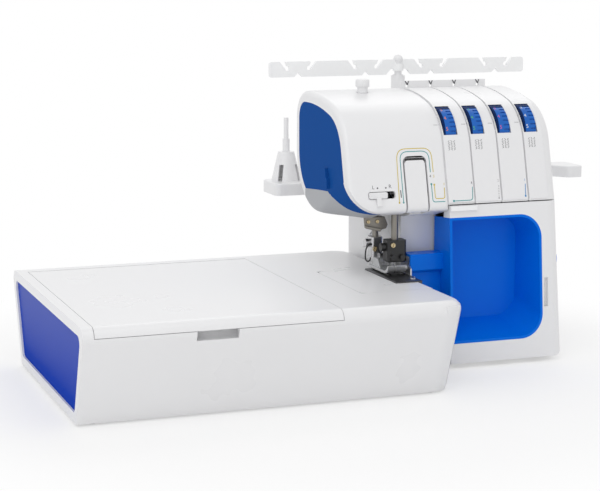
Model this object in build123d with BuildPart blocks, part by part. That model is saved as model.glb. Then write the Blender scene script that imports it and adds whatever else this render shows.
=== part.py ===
from build123d import *
import os
from math import hypot, radians, sin

# Overlock machine with a wide table, in millimetres. X runs right, Y back and Z up.
# The origin lies on the floor straight below the needles.

os.makedirs("parts", exist_ok=True)

# Shared heights, walls and clearances
bed_height = 92.0
foot_height = 4.0
wall = 3.0
run_gap = 0.5
shaft_fit = 0.05
far = 400.0

# Housing in side view
front_foot_y = -36.0
front_bend_y, bend_z = -27.1, 163.0
bend_radius = 20.0
front_shoulder_y, shoulder_z = -13.0, 219.0
brow_y, brow_z = 24.0, 257.0
crown_y, crown_z = 98.0, 266.0
crown_drop = 0.6
back_y = 125.0
nape_radius = 58.0
chin_back_y = 6.0
throat_radius = 40.0
chin_z = 156.5
chin_radius = 5.0
head_bottom = 147.0
rear_back = 150.0
rear_shelf_z = 150.0
rear_radius = 10.0

# Housing in front view
head_left = -57.5
column_left = 11.5
bay_right = 46.0
bay_back = 12.0
body_right = 170.5
crown_right = 164.5
rim_radius = 5.0
corner_radius = 12.0
flank_radius = 300.0
heel_radius = 12.0
right_split = 152.5
front_split = 80.0

# Front cover and its tray
seam_z = 161.5
seam_gap = 1.2
cover_depth = 14.0
tray_right = 148.0
tray_bottom = 23.0
tray_top = 149.5
tray_floor_y = 8.0
tray_drafts = (11.0, 16.0, 4.0)
tray_wall = 2.5
tray_corner = 24.0
grip_width = 4.5
grip_depth = 3.0
grip_bottom, grip_top = 55.0, 84.0
cover_swing_y, cover_swing_z = -29.0, 11.0
cover_slide = 6.0

# Tension dials
dial_count = 4
dial_first_x = 46.9
dial_width = 13.2
dial_pitch = 29.0
dial_radius = 26.5
dial_y, dial_z = 16.3, 226.1
dial_gap = 0.9
dial_bore = 3.0
dial_ribs = 36
panel_rise = 1.0
panel_lead = 1.9
groove_width = 1.8
groove_depth = 1.6

# Take-up slot and needle selector
slot_left, slot_right = 0.5, 25.2
slot_top = 209.0
slot_radius = 6.0
block_gap = 1.7
block_depth = 6.0
selector_left, selector_right = -38.0, -10.0
selector_bottom, selector_top = 170.0, 177.0
selector_radius = 2.2
selector_travel = 8.0

# Top fittings
knob_x, knob_y = -8.0, 66.0
knob_radius = 7.0
knob_top = 278.0
knob_neck = 5.4
knob_seat_z = 250.0
guide_y = 90.0
guide_thickness = 3.0
guide_left, guide_right = 44.0, 139.0
guide_top = 273.0
guide_notch_first, guide_notch_pitch = 51.0, 26.4

# Needle, presser and knife
needle_radius = 0.9
needle_spread = 2.2
needle_tip_z = bed_height - 1.5
needle_bar_radius = 3.4
needle_bar_top = 214.0
clamp_width, clamp_depth = 20.0, 15.0
clamp_bottom, clamp_top = bed_height + 12.5, bed_height + 34.0
presser_x, presser_y = -10.5, 24.0
presser_bar_radius = 3.0
presser_bar_top = 215.0
foot_left, foot_right = -14.0, 6.0
foot_front, foot_back = -16.0, 33.0
foot_pivot_y, foot_pivot_z = 19.0, bed_height + 10.0
plate_left, plate_right = -19.0, 8.0
plate_front, plate_back = -49.0, 30.0
plate_thickness = 3.2
plate_proud = 1.2
sole_gap = 1.5

# Free-arm bed
bed_left, bed_right = -68.0, 3.5
bed_front, bed_back = -82.5, 34.5
bed_bottom = bed_height - 52.0

# Cast frame and drive
frame_base_z = 9.0
beam_bottom, beam_top = 172.0, 192.0
beam_front, beam_back = 18.0, 60.0
beam_left = -46.0
near_wall_x, far_wall_x = 58.0, 112.0
frame_wall = 9.0
shaft_y, shaft_z = 60.0, 62.0
shaft_radius = 6.0
bush_wall = 3.0
pulley_x = 126.0
pulley_width = 10.0
pulley_radius = 30.0
motor_y, motor_z = 112.0, 36.0
motor_radius = 25.0
motor_length = 40.0
motor_pulley_radius = 7.5
motor_shaft_radius = 3.0
belt_thickness = 2.2
belt_width = 8.0
handwheel_radius = 31.0
handwheel_width = 19.0

# Right-hand controls
dial_s_y, dial_s_z = 8.0, 96.0
dial_s_radius = 13.0
stitch_shaft_radius = 4.0
lever_pin_radius = 2.0
lever_y, lever_z = 112.0, 70.0
lever_arm = 36.0
lever_swing = 20.0
inlet_y, inlet_z = 112.0, 34.0
inlet_y_range = (inlet_y - 18.0, inlet_y + 18.0)
inlet_z_range = (inlet_z - 13.0, inlet_z + 13.0)

# Spool stand
tray_z = 166.6
tray_thickness = 12.6
pin_first_x, pin_first_y = -52.2, 168.5
pin_pitch_x, pin_pitch_y = 97.7, 7.0
pin_radius = 2.5
pin_top = 232.0
cone_radius = 15.5
post_x, post_y = 70.0, 158.0
post_radii = (7.3, 5.6, 3.9)
post_fit = 0.08
post_top = 274.0
bar_left, bar_right = -74.5, 217.0
bar_height = 16.0
bar_bottom = post_top + 1.0
bar_top = bar_bottom + bar_height
bar_thickness = 4.0

# Wide table
table_left, table_right = -345.5, 10.5
table_mid_y = 3.0
table_half_top, table_half_foot = 155.5, 120.5
table_foot = 2.0
table_edge_radius = 10.0
table_corner_radius = 22.0
table_wall = 3.0
lid_left, lid_right = -335.0, -111.0
lid_seam_z = bed_height - 9.0
lid_back_y = table_mid_y + table_half_top - 28.5
lid_lip_y = table_mid_y - table_half_top + 52.5
lid_thickness = 3.5
lid_pin_z = bed_height - 3.2
lid_pin_radius = 1.5


low_lean = (front_bend_y - front_foot_y) / (bend_z - foot_height)
high_lean = (front_shoulder_y - front_bend_y) / (shoulder_z - bend_z)


def front_y(z):
    """Depth of the front face at height z, which leans more above the bend."""
    return front_bend_y + (z - bend_z) * (low_lean if z < bend_z else high_lean)


right_lean = (body_right - crown_right) / (bend_z - foot_height)


def right_x(z):
    """Place of the leaning right side at height z, below the bend."""
    return body_right - (z - foot_height) * right_lean


def crown_lines(start):
    """Front, brow, crown and back of the side view, from a point on the lower front."""
    low = Line(start, (front_bend_y, bend_z))
    front = Line(low @ 1, (front_shoulder_y, shoulder_z))
    brow = TangentArc(front @ 1, (brow_y, brow_z), tangent=front % 1)
    crown = TangentArc(brow @ 1, (crown_y, crown_z - crown_drop), tangent=brow % 1)
    fall = (crown % 1 + Vector(0, -1)).normalized()
    back = TangentArc(crown @ 1, crown @ 1 + fall * ((back_y - crown_y) / fall.X), tangent=crown % 1)
    return back @ 1


def round_bend(side):
    """Round the bend of the front in a side view."""
    fillet(side.vertices().sort_by_distance((front_bend_y, bend_z, 0))[0], bend_radius)


def head_side(inset):
    """Side view of the head, drawn in by inset."""
    with BuildSketch() as side:
        with BuildLine():
            chin = (front_y(chin_z), chin_z)
            back = crown_lines(chin)
            Polyline(back, (back_y, head_bottom), (chin_back_y, head_bottom), chin)
        make_face()
        fillet(side.vertices().sort_by_distance((back_y, head_bottom, 0))[0], nape_radius)
        fillet(side.vertices().sort_by_distance((chin_back_y, head_bottom, 0))[0], throat_radius)
        fillet(side.vertices().sort_by_distance((*chin, 0))[0], chin_radius)
        round_bend(side)
        if inset:
            offset(amount=-inset, mode=Mode.REPLACE)
    return side.sketch


def column_side(inset):
    """Side view of the column with its rear housing, drawn in by inset."""
    with BuildSketch() as side:
        with BuildLine():
            back = crown_lines((front_foot_y, foot_height))
            Polyline(
                back,
                (back_y, rear_shelf_z),
                (rear_back, rear_shelf_z),
                (rear_back, foot_height),
                (front_foot_y, foot_height),
            )
        make_face()
        fillet(side.vertices().group_by(Axis.X)[-1].sort_by(Axis.Y)[-1], rear_radius)
        round_bend(side)
        if inset:
            offset(amount=-inset, mode=Mode.REPLACE)
    return side.sketch


def front_outline(inset, heel=0.0):
    """Front view of head and column, drawn in by inset, with a rounded heel."""
    with BuildSketch() as outline:
        with BuildLine():
            Polyline(
                (head_left, head_bottom),
                (head_left, crown_z),
                (crown_right, crown_z),
                (crown_right, bend_z),
                (body_right, foot_height),
                (column_left, foot_height),
                (column_left, head_bottom),
                close=True,
            )
        make_face()
        fillet(outline.vertices().sort_by_distance((crown_right, bend_z, 0))[0], flank_radius)
        if heel:
            fillet(outline.vertices().sort_by(Axis.X)[-1], heel)
        if inset:
            offset(amount=-inset, mode=Mode.REPLACE)
    return outline.sketch


def right_end_edges(form):
    """Edges round the right end of the column, from the foot over the crown to the rear shelf."""
    ends = form.edges().filter_by_position(Axis.X, right_split, far)
    ends = ends.filter_by_position(Axis.Y, -far, back_y + 1)
    ends = ends.filter_by_position(Axis.Z, foot_height + 2 * wall, far)
    return ends.filter_by(lambda edge: edge.bounding_box().size.Z > 1)


def housing(inset):
    """Form of head and column together, drawn in by inset on every side."""
    with BuildPart() as form:
        with BuildSketch(Plane.YZ.offset(column_left + inset)):
            add(column_side(inset))
        extrude(amount=body_right - column_left)
        with BuildSketch(Plane.XZ):
            add(front_outline(inset))
        extrude(amount=far, both=True, mode=Mode.INTERSECT)
        fillet(right_end_edges(form), corner_radius - inset)
        with BuildSketch(Plane.XY):
            with Locations((bay_right + inset, bay_back + inset)):
                Rectangle(far, far, align=(Align.MAX, Align.MAX))
        extrude(amount=far, mode=Mode.SUBTRACT)
        with BuildSketch(Plane.YZ.offset(head_left + inset)) as left_end:
            add(head_side(inset))
        with BuildPart(mode=Mode.PRIVATE) as head:
            extrude(left_end.sketch, amount=bay_right + 2 * wall - head_left)
            fillet(head.faces().sort_by(Axis.X)[0].edges(), rim_radius - inset)
        add(head.part)
        with BuildSketch(Plane.XZ):
            add(front_outline(inset, heel_radius))
        extrude(amount=far, both=True, mode=Mode.INTERSECT)
    return form.part


def save(piece, name):
    """Name a finished piece and write its file."""
    piece.part.label = name
    export_step(piece.part, f"parts/{name}.step")


def block(x_range, y_range, z_range, mode=Mode.ADD):
    """Plain block between three pairs of limits, in the piece being built."""
    centre = [(pair[0] + pair[1]) / 2 for pair in (x_range, y_range, z_range)]
    with Locations(tuple(centre)):
        Box(x_range[1] - x_range[0], y_range[1] - y_range[0], z_range[1] - z_range[0], mode=mode)


def bar_x(x_range, y, z, radius, mode=Mode.ADD):
    """Round bar along X, in the piece being built."""
    with Locations(Location(((x_range[0] + x_range[1]) / 2, y, z), (0, 90, 0))):
        Cylinder(radius, x_range[1] - x_range[0], mode=mode)


def bar_y(x, y_range, z, radius, mode=Mode.ADD):
    """Round bar along Y, in the piece being built."""
    with Locations(Location((x, (y_range[0] + y_range[1]) / 2, z), (90, 0, 0))):
        Cylinder(radius, y_range[1] - y_range[0], mode=mode)


def bar_z(x, y, z_range, radius, mode=Mode.ADD):
    """Round bar along Z, in the piece being built."""
    with Locations((x, y, (z_range[0] + z_range[1]) / 2)):
        Cylinder(radius, z_range[1] - z_range[0], mode=mode)


def plate(plane, points, thickness, radius=0.0, mode=Mode.ADD):
    """Plate with an outline of points on a plane and rounded corners, in the piece being built."""
    with BuildSketch(plane) as outline:
        with BuildLine():
            Polyline(*points, close=True)
        make_face()
        if radius:
            fillet(outline.vertices(), radius)
    extrude(outline.sketch, amount=thickness, mode=mode)


def side_plate(x_range, points, radius=0.0, mode=Mode.ADD):
    """Plate with a side view of points (Y, Z), in the piece being built."""
    plate(Plane.YZ.offset(x_range[0]), points, x_range[1] - x_range[0], radius, mode)


def front_plate(y_range, points, radius=0.0, mode=Mode.ADD):
    """Plate with a front view of points (X, Z), in the piece being built."""
    plate(Plane.XZ.offset(-y_range[1]), points, y_range[1] - y_range[0], radius, mode)


def floor_plate(z_range, points, radius=0.0, mode=Mode.ADD):
    """Plate with a plan of points (X, Y), in the piece being built."""
    plate(Plane.XY.offset(z_range[0]), points, z_range[1] - z_range[0], radius, mode)


outer_form = housing(0)
inner_form = housing(wall)

# Places that several pieces share
dial_lefts = [dial_first_x + i * dial_pitch for i in range(dial_count)]
plate_top = bed_height + plate_proud
plate_bottom = plate_top - plate_thickness

# Hollow shell of head and column, before it is parted into covers
face_rim = 11.0
face_depth = 26.0
floor_cut = 9.0
cover_back = cover_depth + seam_gap
swing_back = cover_back + 1.2
swing_top = 24.0
with BuildPart() as shell:
    add(outer_form)
    add(inner_form, mode=Mode.SUBTRACT)
    side_plate(
        (bay_right - 1, far),
        [
            (-far, 0),
            (front_y(0) + swing_back, 0),
            (front_y(swing_top) + swing_back, swing_top),
            (front_y(swing_top) + cover_back, swing_top),
            (front_y(seam_z) + cover_back, seam_z),
            (-far, seam_z),
        ],
        mode=Mode.SUBTRACT,
    )
    block((bay_right - 1, bay_right + 3 * wall), (-far, tray_floor_y + 2), (0, seam_z), mode=Mode.SUBTRACT)
    block((column_left, bay_right + wall), (-far, bay_back), (0, head_bottom), mode=Mode.SUBTRACT)
    hollow_x = (column_left + wall, body_right - 2 * wall)
    block(hollow_x, (bay_back + wall, rear_back - wall), (0, floor_cut), mode=Mode.SUBTRACT)
    block((bay_right, body_right - 2 * wall), (-far, bay_back + wall), (0, floor_cut), mode=Mode.SUBTRACT)

# Left end of the head, inside its white rim
with BuildPart() as face_plug:
    with BuildSketch(Plane.YZ.offset(head_left - 1)):
        add(head_side(face_rim))
    extrude(amount=face_depth)

# Lower part of that end, where the lamp shines through
lens_front, lens_back = -16.0, 96.0
lens_rise = ((lens_back, 167.0), (60.0, 170.0), (13.0, 173.0), (0.0, 172.0), (lens_front, 168.0))
with BuildPart() as lamp_plug:
    lens_side = [(lens_front, head_bottom - wall), (lens_back, head_bottom - wall), *lens_rise]
    side_plate((head_left - 1, head_left - 1 + face_depth), lens_side)

with BuildPart() as face_cover:
    add(shell.part)
    add(face_plug.part, mode=Mode.INTERSECT)
    add(lamp_plug.part, mode=Mode.SUBTRACT)
    with BuildSketch(Plane.YZ.offset(head_left - 3)):
        with BuildLine():
            Polyline((28, 175), (36, 178), (37, 194), (33, 194), (31, 186), (28, 184), close=True)
        make_face()
    extrude(amount=3.5)
save(face_cover, "face_cover")

with BuildPart() as lamp_lens:
    add(shell.part)
    add(lamp_plug.part, mode=Mode.INTERSECT)
save(lamp_lens, "lamp_lens")

# Raised panels beside the dials, with thread grooves between them
with BuildPart() as panels:
    for left in dial_lefts:
        with BuildSketch(Plane.YZ.offset(left - panel_lead)):
            add(column_side(-panel_rise))
            add(column_side(wall - 1), mode=Mode.SUBTRACT)
        extrude(amount=dial_pitch - groove_width)
    block((0, far), (front_split, far), (0, far), mode=Mode.SUBTRACT)
    block((right_split, far), (-far, far), (0, far), mode=Mode.SUBTRACT)
    block((0, far), (-far, far), (0, seam_z + 2), mode=Mode.SUBTRACT)

with BuildPart() as grooves:
    for left in dial_lefts:
        with BuildSketch(Plane.YZ.offset(left - panel_lead - groove_width)):
            add(column_side(-panel_rise - 1))
            add(column_side(groove_depth), mode=Mode.SUBTRACT)
        extrude(amount=groove_width)

with BuildPart() as front_zone:
    block((-far, right_split), (-far, front_split), (head_bottom - 0.5, far))

with BuildPart() as upper_front_cover:
    add(shell.part)
    add(front_zone.part, mode=Mode.INTERSECT)
    add(face_plug.part, mode=Mode.SUBTRACT)
    add(lamp_plug.part, mode=Mode.SUBTRACT)
    add(panels.part)
    add(grooves.part, mode=Mode.SUBTRACT)
    for left in dial_lefts:
        window = (left - dial_gap, left + dial_width + dial_gap)
        bar_x(window, dial_y, dial_z, dial_radius + 1, mode=Mode.SUBTRACT)
    slot_outline = [
        (slot_left, head_bottom - slot_radius),
        (slot_right, head_bottom - slot_radius),
        (slot_right, slot_top),
        (slot_left, slot_top),
    ]
    front_plate((-far, -8), slot_outline, slot_radius, Mode.SUBTRACT)
    selector_outline = [
        (selector_left, selector_bottom),
        (selector_right, selector_bottom),
        (selector_right, selector_top),
        (selector_left, selector_top),
    ]
    front_plate((-far, -15), selector_outline, selector_radius, Mode.SUBTRACT)
    block((-32, 12), (-14, 52), (0, head_bottom + 3 * wall), mode=Mode.SUBTRACT)
    bar_z(knob_x, knob_y, (crown_z - 3 * wall, crown_z + wall), knob_radius - 1, mode=Mode.SUBTRACT)
save(upper_front_cover, "upper_front_cover")

with BuildPart() as rear_cover:
    add(shell.part)
    block((right_split, far), (-far, far), (0, far), mode=Mode.SUBTRACT)
    add(front_zone.part, mode=Mode.SUBTRACT)
    add(face_plug.part, mode=Mode.SUBTRACT)
    add(lamp_plug.part, mode=Mode.SUBTRACT)
    back_wall = (bay_back - 1, bay_back + wall + 1)
    block((column_left + wall, bay_right + wall), back_wall, (0, bed_height), mode=Mode.SUBTRACT)
    side_wall = (column_left - 1, column_left + wall + 1)
    block(side_wall, (bay_back - 1, 40), (0, bed_height - 4), mode=Mode.SUBTRACT)
    with Locations((88, rear_back, 40)):
        with GridLocations(7, 0, 8, 1):
            Box(3, 4 * wall, 34, mode=Mode.SUBTRACT)
save(rear_cover, "rear_cover")

lever_slot = lever_swing + 8
slot_half = 3.5
with BuildPart() as right_cover:
    add(shell.part)
    block((-far, right_split), (-far, far), (0, far), mode=Mode.SUBTRACT)
    bar_x((right_split, far), shaft_y, shaft_z, shaft_radius + 3, mode=Mode.SUBTRACT)
    bar_x((right_split, far), dial_s_y, dial_s_z, stitch_shaft_radius + shaft_fit, mode=Mode.SUBTRACT)
    with BuildSketch(Plane.YZ.offset(right_split)):
        with Locations((lever_y, lever_z)):
            Circle(lever_arm + slot_half)
            Circle(lever_arm - slot_half, mode=Mode.SUBTRACT)
        with Locations((lever_y, lever_z + lever_arm)):
            Rectangle(2 * lever_arm * sin(radians(lever_slot)), lever_arm, mode=Mode.INTERSECT)
    extrude(amount=30, mode=Mode.SUBTRACT)
    block((right_split, far), inlet_y_range, inlet_z_range, mode=Mode.SUBTRACT)
    bar_x((right_split + run_gap, right_x(lever_z) - 1), lever_y, lever_z, lever_pin_radius)
save(right_cover, "right_cover")

# Front cover with its blue tray and looper guard
def tray_form(inset):
    """Tray of the front cover as a solid form, drawn in by inset."""
    mouth = (0.0, 0.0, 0.0)
    with BuildPart() as pan:
        for depth_y, drafts in ((front_foot_y - 4, mouth), (tray_floor_y - inset, tray_drafts)):
            left = bay_right + inset
            right = tray_right - inset - drafts[0]
            bottom = tray_bottom + inset + drafts[1]
            top = tray_top - inset - drafts[2]
            with BuildSketch(Plane.XZ.offset(-depth_y)) as opening:
                with BuildLine():
                    Polyline((left, bottom), (right, bottom), (right, top), (left, top), close=True)
                make_face()
                fillet(opening.vertices().group_by(Axis.X)[-1], tray_corner - inset)
        loft()
    return pan.part


cover_bottom = foot_height + 1
cover_top = seam_z - seam_gap
lug_lefts = (58.0, 100.0, 142.0)
lug_width = 6.0
lug_half = 3.0
rod_radius = 1.6
with BuildPart() as front_cover:
    side_plate(
        (bay_right, far),
        [
            (front_y(cover_bottom), cover_bottom),
            (front_y(cover_top), cover_top),
            (front_y(cover_top) + cover_depth, cover_top),
            (front_y(cover_bottom) + cover_depth, cover_bottom),
        ],
    )
    add(outer_form, mode=Mode.INTERSECT)
    add(tray_form(0), mode=Mode.SUBTRACT)
    grip_y = (-far, front_y(grip_top) + grip_depth)
    block((tray_right, tray_right + grip_width), grip_y, (grip_bottom, grip_top), mode=Mode.SUBTRACT)
    for left in lug_lefts:
        pocket = (left - cover_slide - run_gap, left + lug_width + run_gap)
        block(pocket, (front_y(cover_swing_z) + 2.6, 0), (0, cover_swing_z + 5), mode=Mode.SUBTRACT)
    bar_x((bay_right - 1, 154), cover_swing_y, cover_swing_z, rod_radius + shaft_fit, mode=Mode.SUBTRACT)
save(front_cover, "front_cover")

with BuildPart() as front_cover_tray:
    add(tray_form(0))
    add(tray_form(tray_wall), mode=Mode.SUBTRACT)
    side_plate(
        (0, far),
        [(-far, 0), (front_y(0), 0), (front_y(seam_z), seam_z), (-far, seam_z)],
        mode=Mode.SUBTRACT,
    )
save(front_cover_tray, "front_cover_tray")

guard_left = table_right + 1
guard_front = -13.0
guard_top, guard_bottom = bed_height + 20.0, bed_height - 54.0
guard_wall = 2.5
guard_step_y = -7.0
with BuildPart() as looper_guard:
    outer_lines = [(6, guard_top), (guard_front, guard_top), (guard_front, bed_height + 4)]
    outer_lines += [(guard_step_y, bed_height + 1), (guard_step_y, guard_bottom)]
    inner_lines = [(guard_step_y + guard_wall, guard_bottom), (guard_step_y + guard_wall, bed_height + 2.4)]
    inner_lines += [(guard_front + guard_wall, bed_height + 5.6)]
    inner_lines += [(guard_front + guard_wall, guard_top - guard_wall), (6, guard_top - guard_wall)]
    side_plate((guard_left, bay_right), outer_lines + inner_lines, 1.1)
save(looper_guard, "looper_guard")

with BuildPart() as cover_hinge_rod:
    bar_x((54, 152), cover_swing_y, cover_swing_z, rod_radius)
save(cover_hinge_rod, "cover_hinge_rod")

# Base, feet and free-arm bed
base_front = -19.0
with BuildPart() as base_plate:
    floor_plate(
        (foot_height, frame_base_z),
        [
            (bay_right + 1, base_front),
            (body_right - 8, base_front),
            (body_right - 8, rear_back - wall),
            (column_left + wall, rear_back - wall),
            (column_left + wall, 30),
            (-58, 30),
            (-58, -66),
            (3, -66),
            (3, bay_back + wall),
            (bay_right + 1, bay_back + wall),
        ],
    )
    for left in lug_lefts:
        lug = [(-10, frame_base_z), (-14, frame_base_z + 4), (cover_swing_y, cover_swing_z + lug_half)]
        lug += [(cover_swing_y - lug_half, cover_swing_z), (cover_swing_y, cover_swing_z - lug_half)]
        lug += [(-18, foot_height + 2), (-10, foot_height)]
        side_plate((left, left + lug_width), lug)
    bar_x((bay_right, 154), cover_swing_y, cover_swing_z, rod_radius + shaft_fit, mode=Mode.SUBTRACT)
save(base_plate, "base_plate")

foot_places = [(60, -8), (140, -8), (140, 132), (28, 132), (-7, -3)]
with BuildPart() as machine_feet:
    for x, y in foot_places:
        with Locations((x, y, 0)):
            Cone(9, 10.5, foot_height, align=(Align.CENTER, Align.CENTER, Align.MIN))
save(machine_feet, "machine_feet")

plate_pocket = 0.2
with BuildPart() as bed_cover:
    block((bed_left, bed_right), (bed_front, bed_back), (bed_bottom, bed_height))
    fillet(bed_cover.edges().filter_by(Axis.Z).group_by(Axis.X)[0], 8)
    fillet(bed_cover.edges().group_by(Axis.Z)[0], 4)
    hollow_x = (bed_left + wall, bed_right + 1)
    block(hollow_x, (bed_front + wall, bed_back - wall), (0, bed_height - wall), mode=Mode.SUBTRACT)
    pocket_x = (plate_left - plate_pocket, far)
    pocket_y = (plate_front - plate_pocket, plate_back + plate_pocket)
    block(pocket_x, pocket_y, (plate_bottom, far), mode=Mode.SUBTRACT)
    block((plate_left + 4, far), (-22, plate_back - 3), (bed_bottom, far), mode=Mode.SUBTRACT)
save(bed_cover, "bed_cover")

# Needle plate with its needle hole and feed slots
feed_rows = ((-12.0, -8.5), (3.2, 6.2))
feed_front, feed_back = -10.0, 23.0
feed_travel = 2.5
feed_top = plate_top - 0.2
with BuildPart() as needle_plate:
    block((plate_left, plate_right), (plate_front, plate_back), (plate_bottom, plate_top))
    chamfer(needle_plate.edges().group_by(Axis.Z)[-1].group_by(Axis.X)[0], 0.8)
    for left, right in feed_rows:
        slot_y = (feed_front - feed_travel - 1, feed_back + feed_travel + 0.8)
        block((left - 0.6, right + 0.6), slot_y, (0, far), mode=Mode.SUBTRACT)
    block((-needle_spread - 2, needle_spread + 0.2), (-2.5, 2.5), (0, far), mode=Mode.SUBTRACT)
    block((needle_spread - 1.6, needle_spread + 0.2), (-2.5, 2.5), (0, far), mode=Mode.SUBTRACT)
save(needle_plate, "needle_plate")

carrier_y = (14.5, 24.5)
carrier_z = (bed_height - 16.0, bed_height - 6.0)
rail_x, rail_z, rail_radius = -2.6, bed_height - 12.0, 1.6
with BuildPart() as feed_dogs:
    for left, right in feed_rows:
        block((left, right), (feed_front, feed_back), (carrier_z[1], feed_top - 1.2))
        with Locations(((left + right) / 2, (feed_front + feed_back) / 2, feed_top - 1.2)):
            with GridLocations(0, 3, 1, 11):
                Box(right - left, 1.6, 1.2, align=(Align.CENTER, Align.CENTER, Align.MIN))
    block((feed_rows[0][0], feed_rows[1][1]), carrier_y, carrier_z)
    bar_y(rail_x, (0, 40), rail_z, rail_radius + shaft_fit, mode=Mode.SUBTRACT)
save(feed_dogs, "feed_dogs")

knife_x = plate_right
knife_gap = 0.1
knife_thickness = 1.5
with BuildPart() as lower_knife:
    edge_y = (plate_front + 20, plate_front + 48)
    knife_foot = bed_height - 22
    knife_side = [(edge_y[0], plate_top), (edge_y[1], plate_top), (-6, knife_foot), (-22, knife_foot)]
    side_plate((knife_x, knife_x + knife_thickness), knife_side)
save(lower_knife, "lower_knife")

knife_rod_x, knife_rod_y, knife_rod_radius = 16.0, 6.5, 2.5
blade_left = knife_x + knife_thickness + knife_gap
with BuildPart() as upper_knife:
    blade = [(-17, 16), (-8, 16), (-8, bed_height - 8), (-6.5, bed_height - 2)]
    blade += [(-6.5, bed_height + 9), (-10, bed_height + 11), (-17, bed_height + 7)]
    side_plate((blade_left, blade_left + knife_thickness), blade)
    block((blade_left, knife_rod_x), (-15, knife_rod_y), (17, 25))
    bar_z(knife_rod_x, knife_rod_y, (17, 27), 5)
    bar_z(knife_rod_x, knife_rod_y, (0, 60), knife_rod_radius + shaft_fit, mode=Mode.SUBTRACT)
save(upper_knife, "upper_knife")

# Loopers
low_x, low_z, low_hub, low_shaft = 30.0, bed_height - 40.0, 8.0, 4.0
up_x, up_z, up_hub, up_shaft = 36.0, bed_height - 62.0, 7.0, 3.5
arm_y = (17.0, 31.0)
arm_z = (bed_height - 48.0, bed_height - 34.0)
rod_seat_z = arm_z[0] + 2
with BuildPart() as lower_looper:
    hook = [(33, low_z + 6), (22, low_z), (10, low_z + 22)]
    front_plate((1.6, 4.6), hook + [(2, low_z + 28), (3, low_z + 30), (14, low_z + 27)])
    bar_y(low_x, (1.6, 12), low_z, low_hub)
    bar_y(low_x, (12, arm_y[1] - 2), low_z, low_shaft)
save(lower_looper, "lower_looper")

with BuildPart() as upper_looper:
    hook = [(41, up_z + 4), (31, up_z + 4), (25, up_z + 54)]
    front_plate((-4, -1), hook + [(18, up_z + 67), (21, up_z + 68), (31, up_z + 58)])
    bar_y(up_x, (-4, -0.6), up_z, up_hub)
    bar_y(up_x, (-0.6, arm_y[1] - 2), up_z, up_shaft)
save(upper_looper, "upper_looper")

# Cast frame
lug_x = (-11.5, -3.5)
lifter_y, lifter_z = 44.0, 139.0
pivot_pin_radius = 2.5
take_up_y, take_up_z = 8.0, 206.0
take_up_x = (needle_bar_radius + run_gap, needle_bar_radius + run_gap + 1.2)
with BuildPart() as main_frame:
    for left in (near_wall_x, far_wall_x):
        cheek = [(16, frame_base_z), (146, frame_base_z), (146, 70), (100, 150), (beam_back, beam_bottom)]
        cheek += [(beam_front, beam_bottom), (beam_front, 140), (28, 110), (28, 40), (16, 24)]
        side_plate((left, left + frame_wall), cheek, 3)
    block((near_wall_x, far_wall_x + frame_wall), (18, 84), (frame_base_z, frame_base_z + 5))
    block((beam_left, 144), (beam_front, beam_back), (beam_bottom, beam_top))
    block((-9, 9), (-9, beam_front), (beam_bottom, beam_top))
    block((-60, near_wall_x + frame_wall), arm_y, arm_z)
    block((-60, -50), arm_y, (arm_z[1], bed_height - wall))
    bar_y(up_x, arm_y, up_z, 9)
    block((up_x - 9, up_x + 9), arm_y, (up_z, rod_seat_z))
    block((rail_x - 4, rail_x + 4), (29, arm_y[1]), (arm_z[1], rail_z + 4))
    bar_y(rail_x, (11, 29), rail_z, rail_radius)
    block((knife_rod_x - 4, knife_rod_x + 4), (5.4, arm_y[0]), (rod_seat_z, rod_seat_z + 10))
    bar_z(knife_rod_x, knife_rod_y, (frame_base_z + 2, rod_seat_z), knife_rod_radius)
    block(lug_x, (38, 50), (lifter_z - 6, beam_bottom))
    bar_x((lug_x[1], lug_x[1] + 10), lifter_y, lifter_z, pivot_pin_radius)
    block((-9, take_up_x[0] - run_gap), (4, 14), (beam_top, take_up_z + 4))
    bar_x((take_up_x[0] - run_gap, take_up_x[1] + 0.6), take_up_y, take_up_z, pivot_pin_radius)
    block((knob_x - 7, knob_x + 7), (beam_back - 8, knob_y + 7), (beam_bottom + 6, knob_seat_z))
    bar_z(knob_x, knob_y, (knob_seat_z - 14, far), knob_neck + shaft_fit, mode=Mode.SUBTRACT)
    bar_z(0, 0, (0, far), needle_bar_radius + shaft_fit, mode=Mode.SUBTRACT)
    bar_z(presser_x, presser_y, (beam_bottom - 1, far), presser_bar_radius + shaft_fit, mode=Mode.SUBTRACT)
    bar_y(low_x, (arm_y[0] - 1, arm_y[1] + 1), low_z, low_shaft + shaft_fit, mode=Mode.SUBTRACT)
    bar_y(up_x, (arm_y[0] - 1, arm_y[1] + 1), up_z, up_shaft + shaft_fit, mode=Mode.SUBTRACT)
    bush_x = (near_wall_x - 1, far_wall_x + frame_wall + 1)
    bar_x(bush_x, shaft_y, shaft_z, shaft_radius + bush_wall, mode=Mode.SUBTRACT)
    bar_x((far_wall_x - 1, far_wall_x + 10), motor_y, motor_z, motor_shaft_radius + 2, mode=Mode.SUBTRACT)
save(main_frame, "main_frame")

# Drive
with BuildPart() as shaft_bushes:
    for left in (near_wall_x, far_wall_x):
        bar_x((left, left + frame_wall), shaft_y, shaft_z, shaft_radius + bush_wall)
        bore_x = (left - 1, left + frame_wall + 1)
        bar_x(bore_x, shaft_y, shaft_z, shaft_radius + shaft_fit, mode=Mode.SUBTRACT)
save(shaft_bushes, "shaft_bushes")

crank_throw = 4.0
wheel_left = right_x(shaft_z - handwheel_radius) + 1.0
wheel_right = wheel_left + handwheel_width
with BuildPart() as main_shaft:
    bar_x((near_wall_x - 4, wheel_right - 3), shaft_y, shaft_z, shaft_radius)
    for left in (near_wall_x + 14, near_wall_x + 32):
        bar_x((left, left + 8), shaft_y, shaft_z + crank_throw, shaft_radius + 7)
save(main_shaft, "main_shaft")

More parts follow.
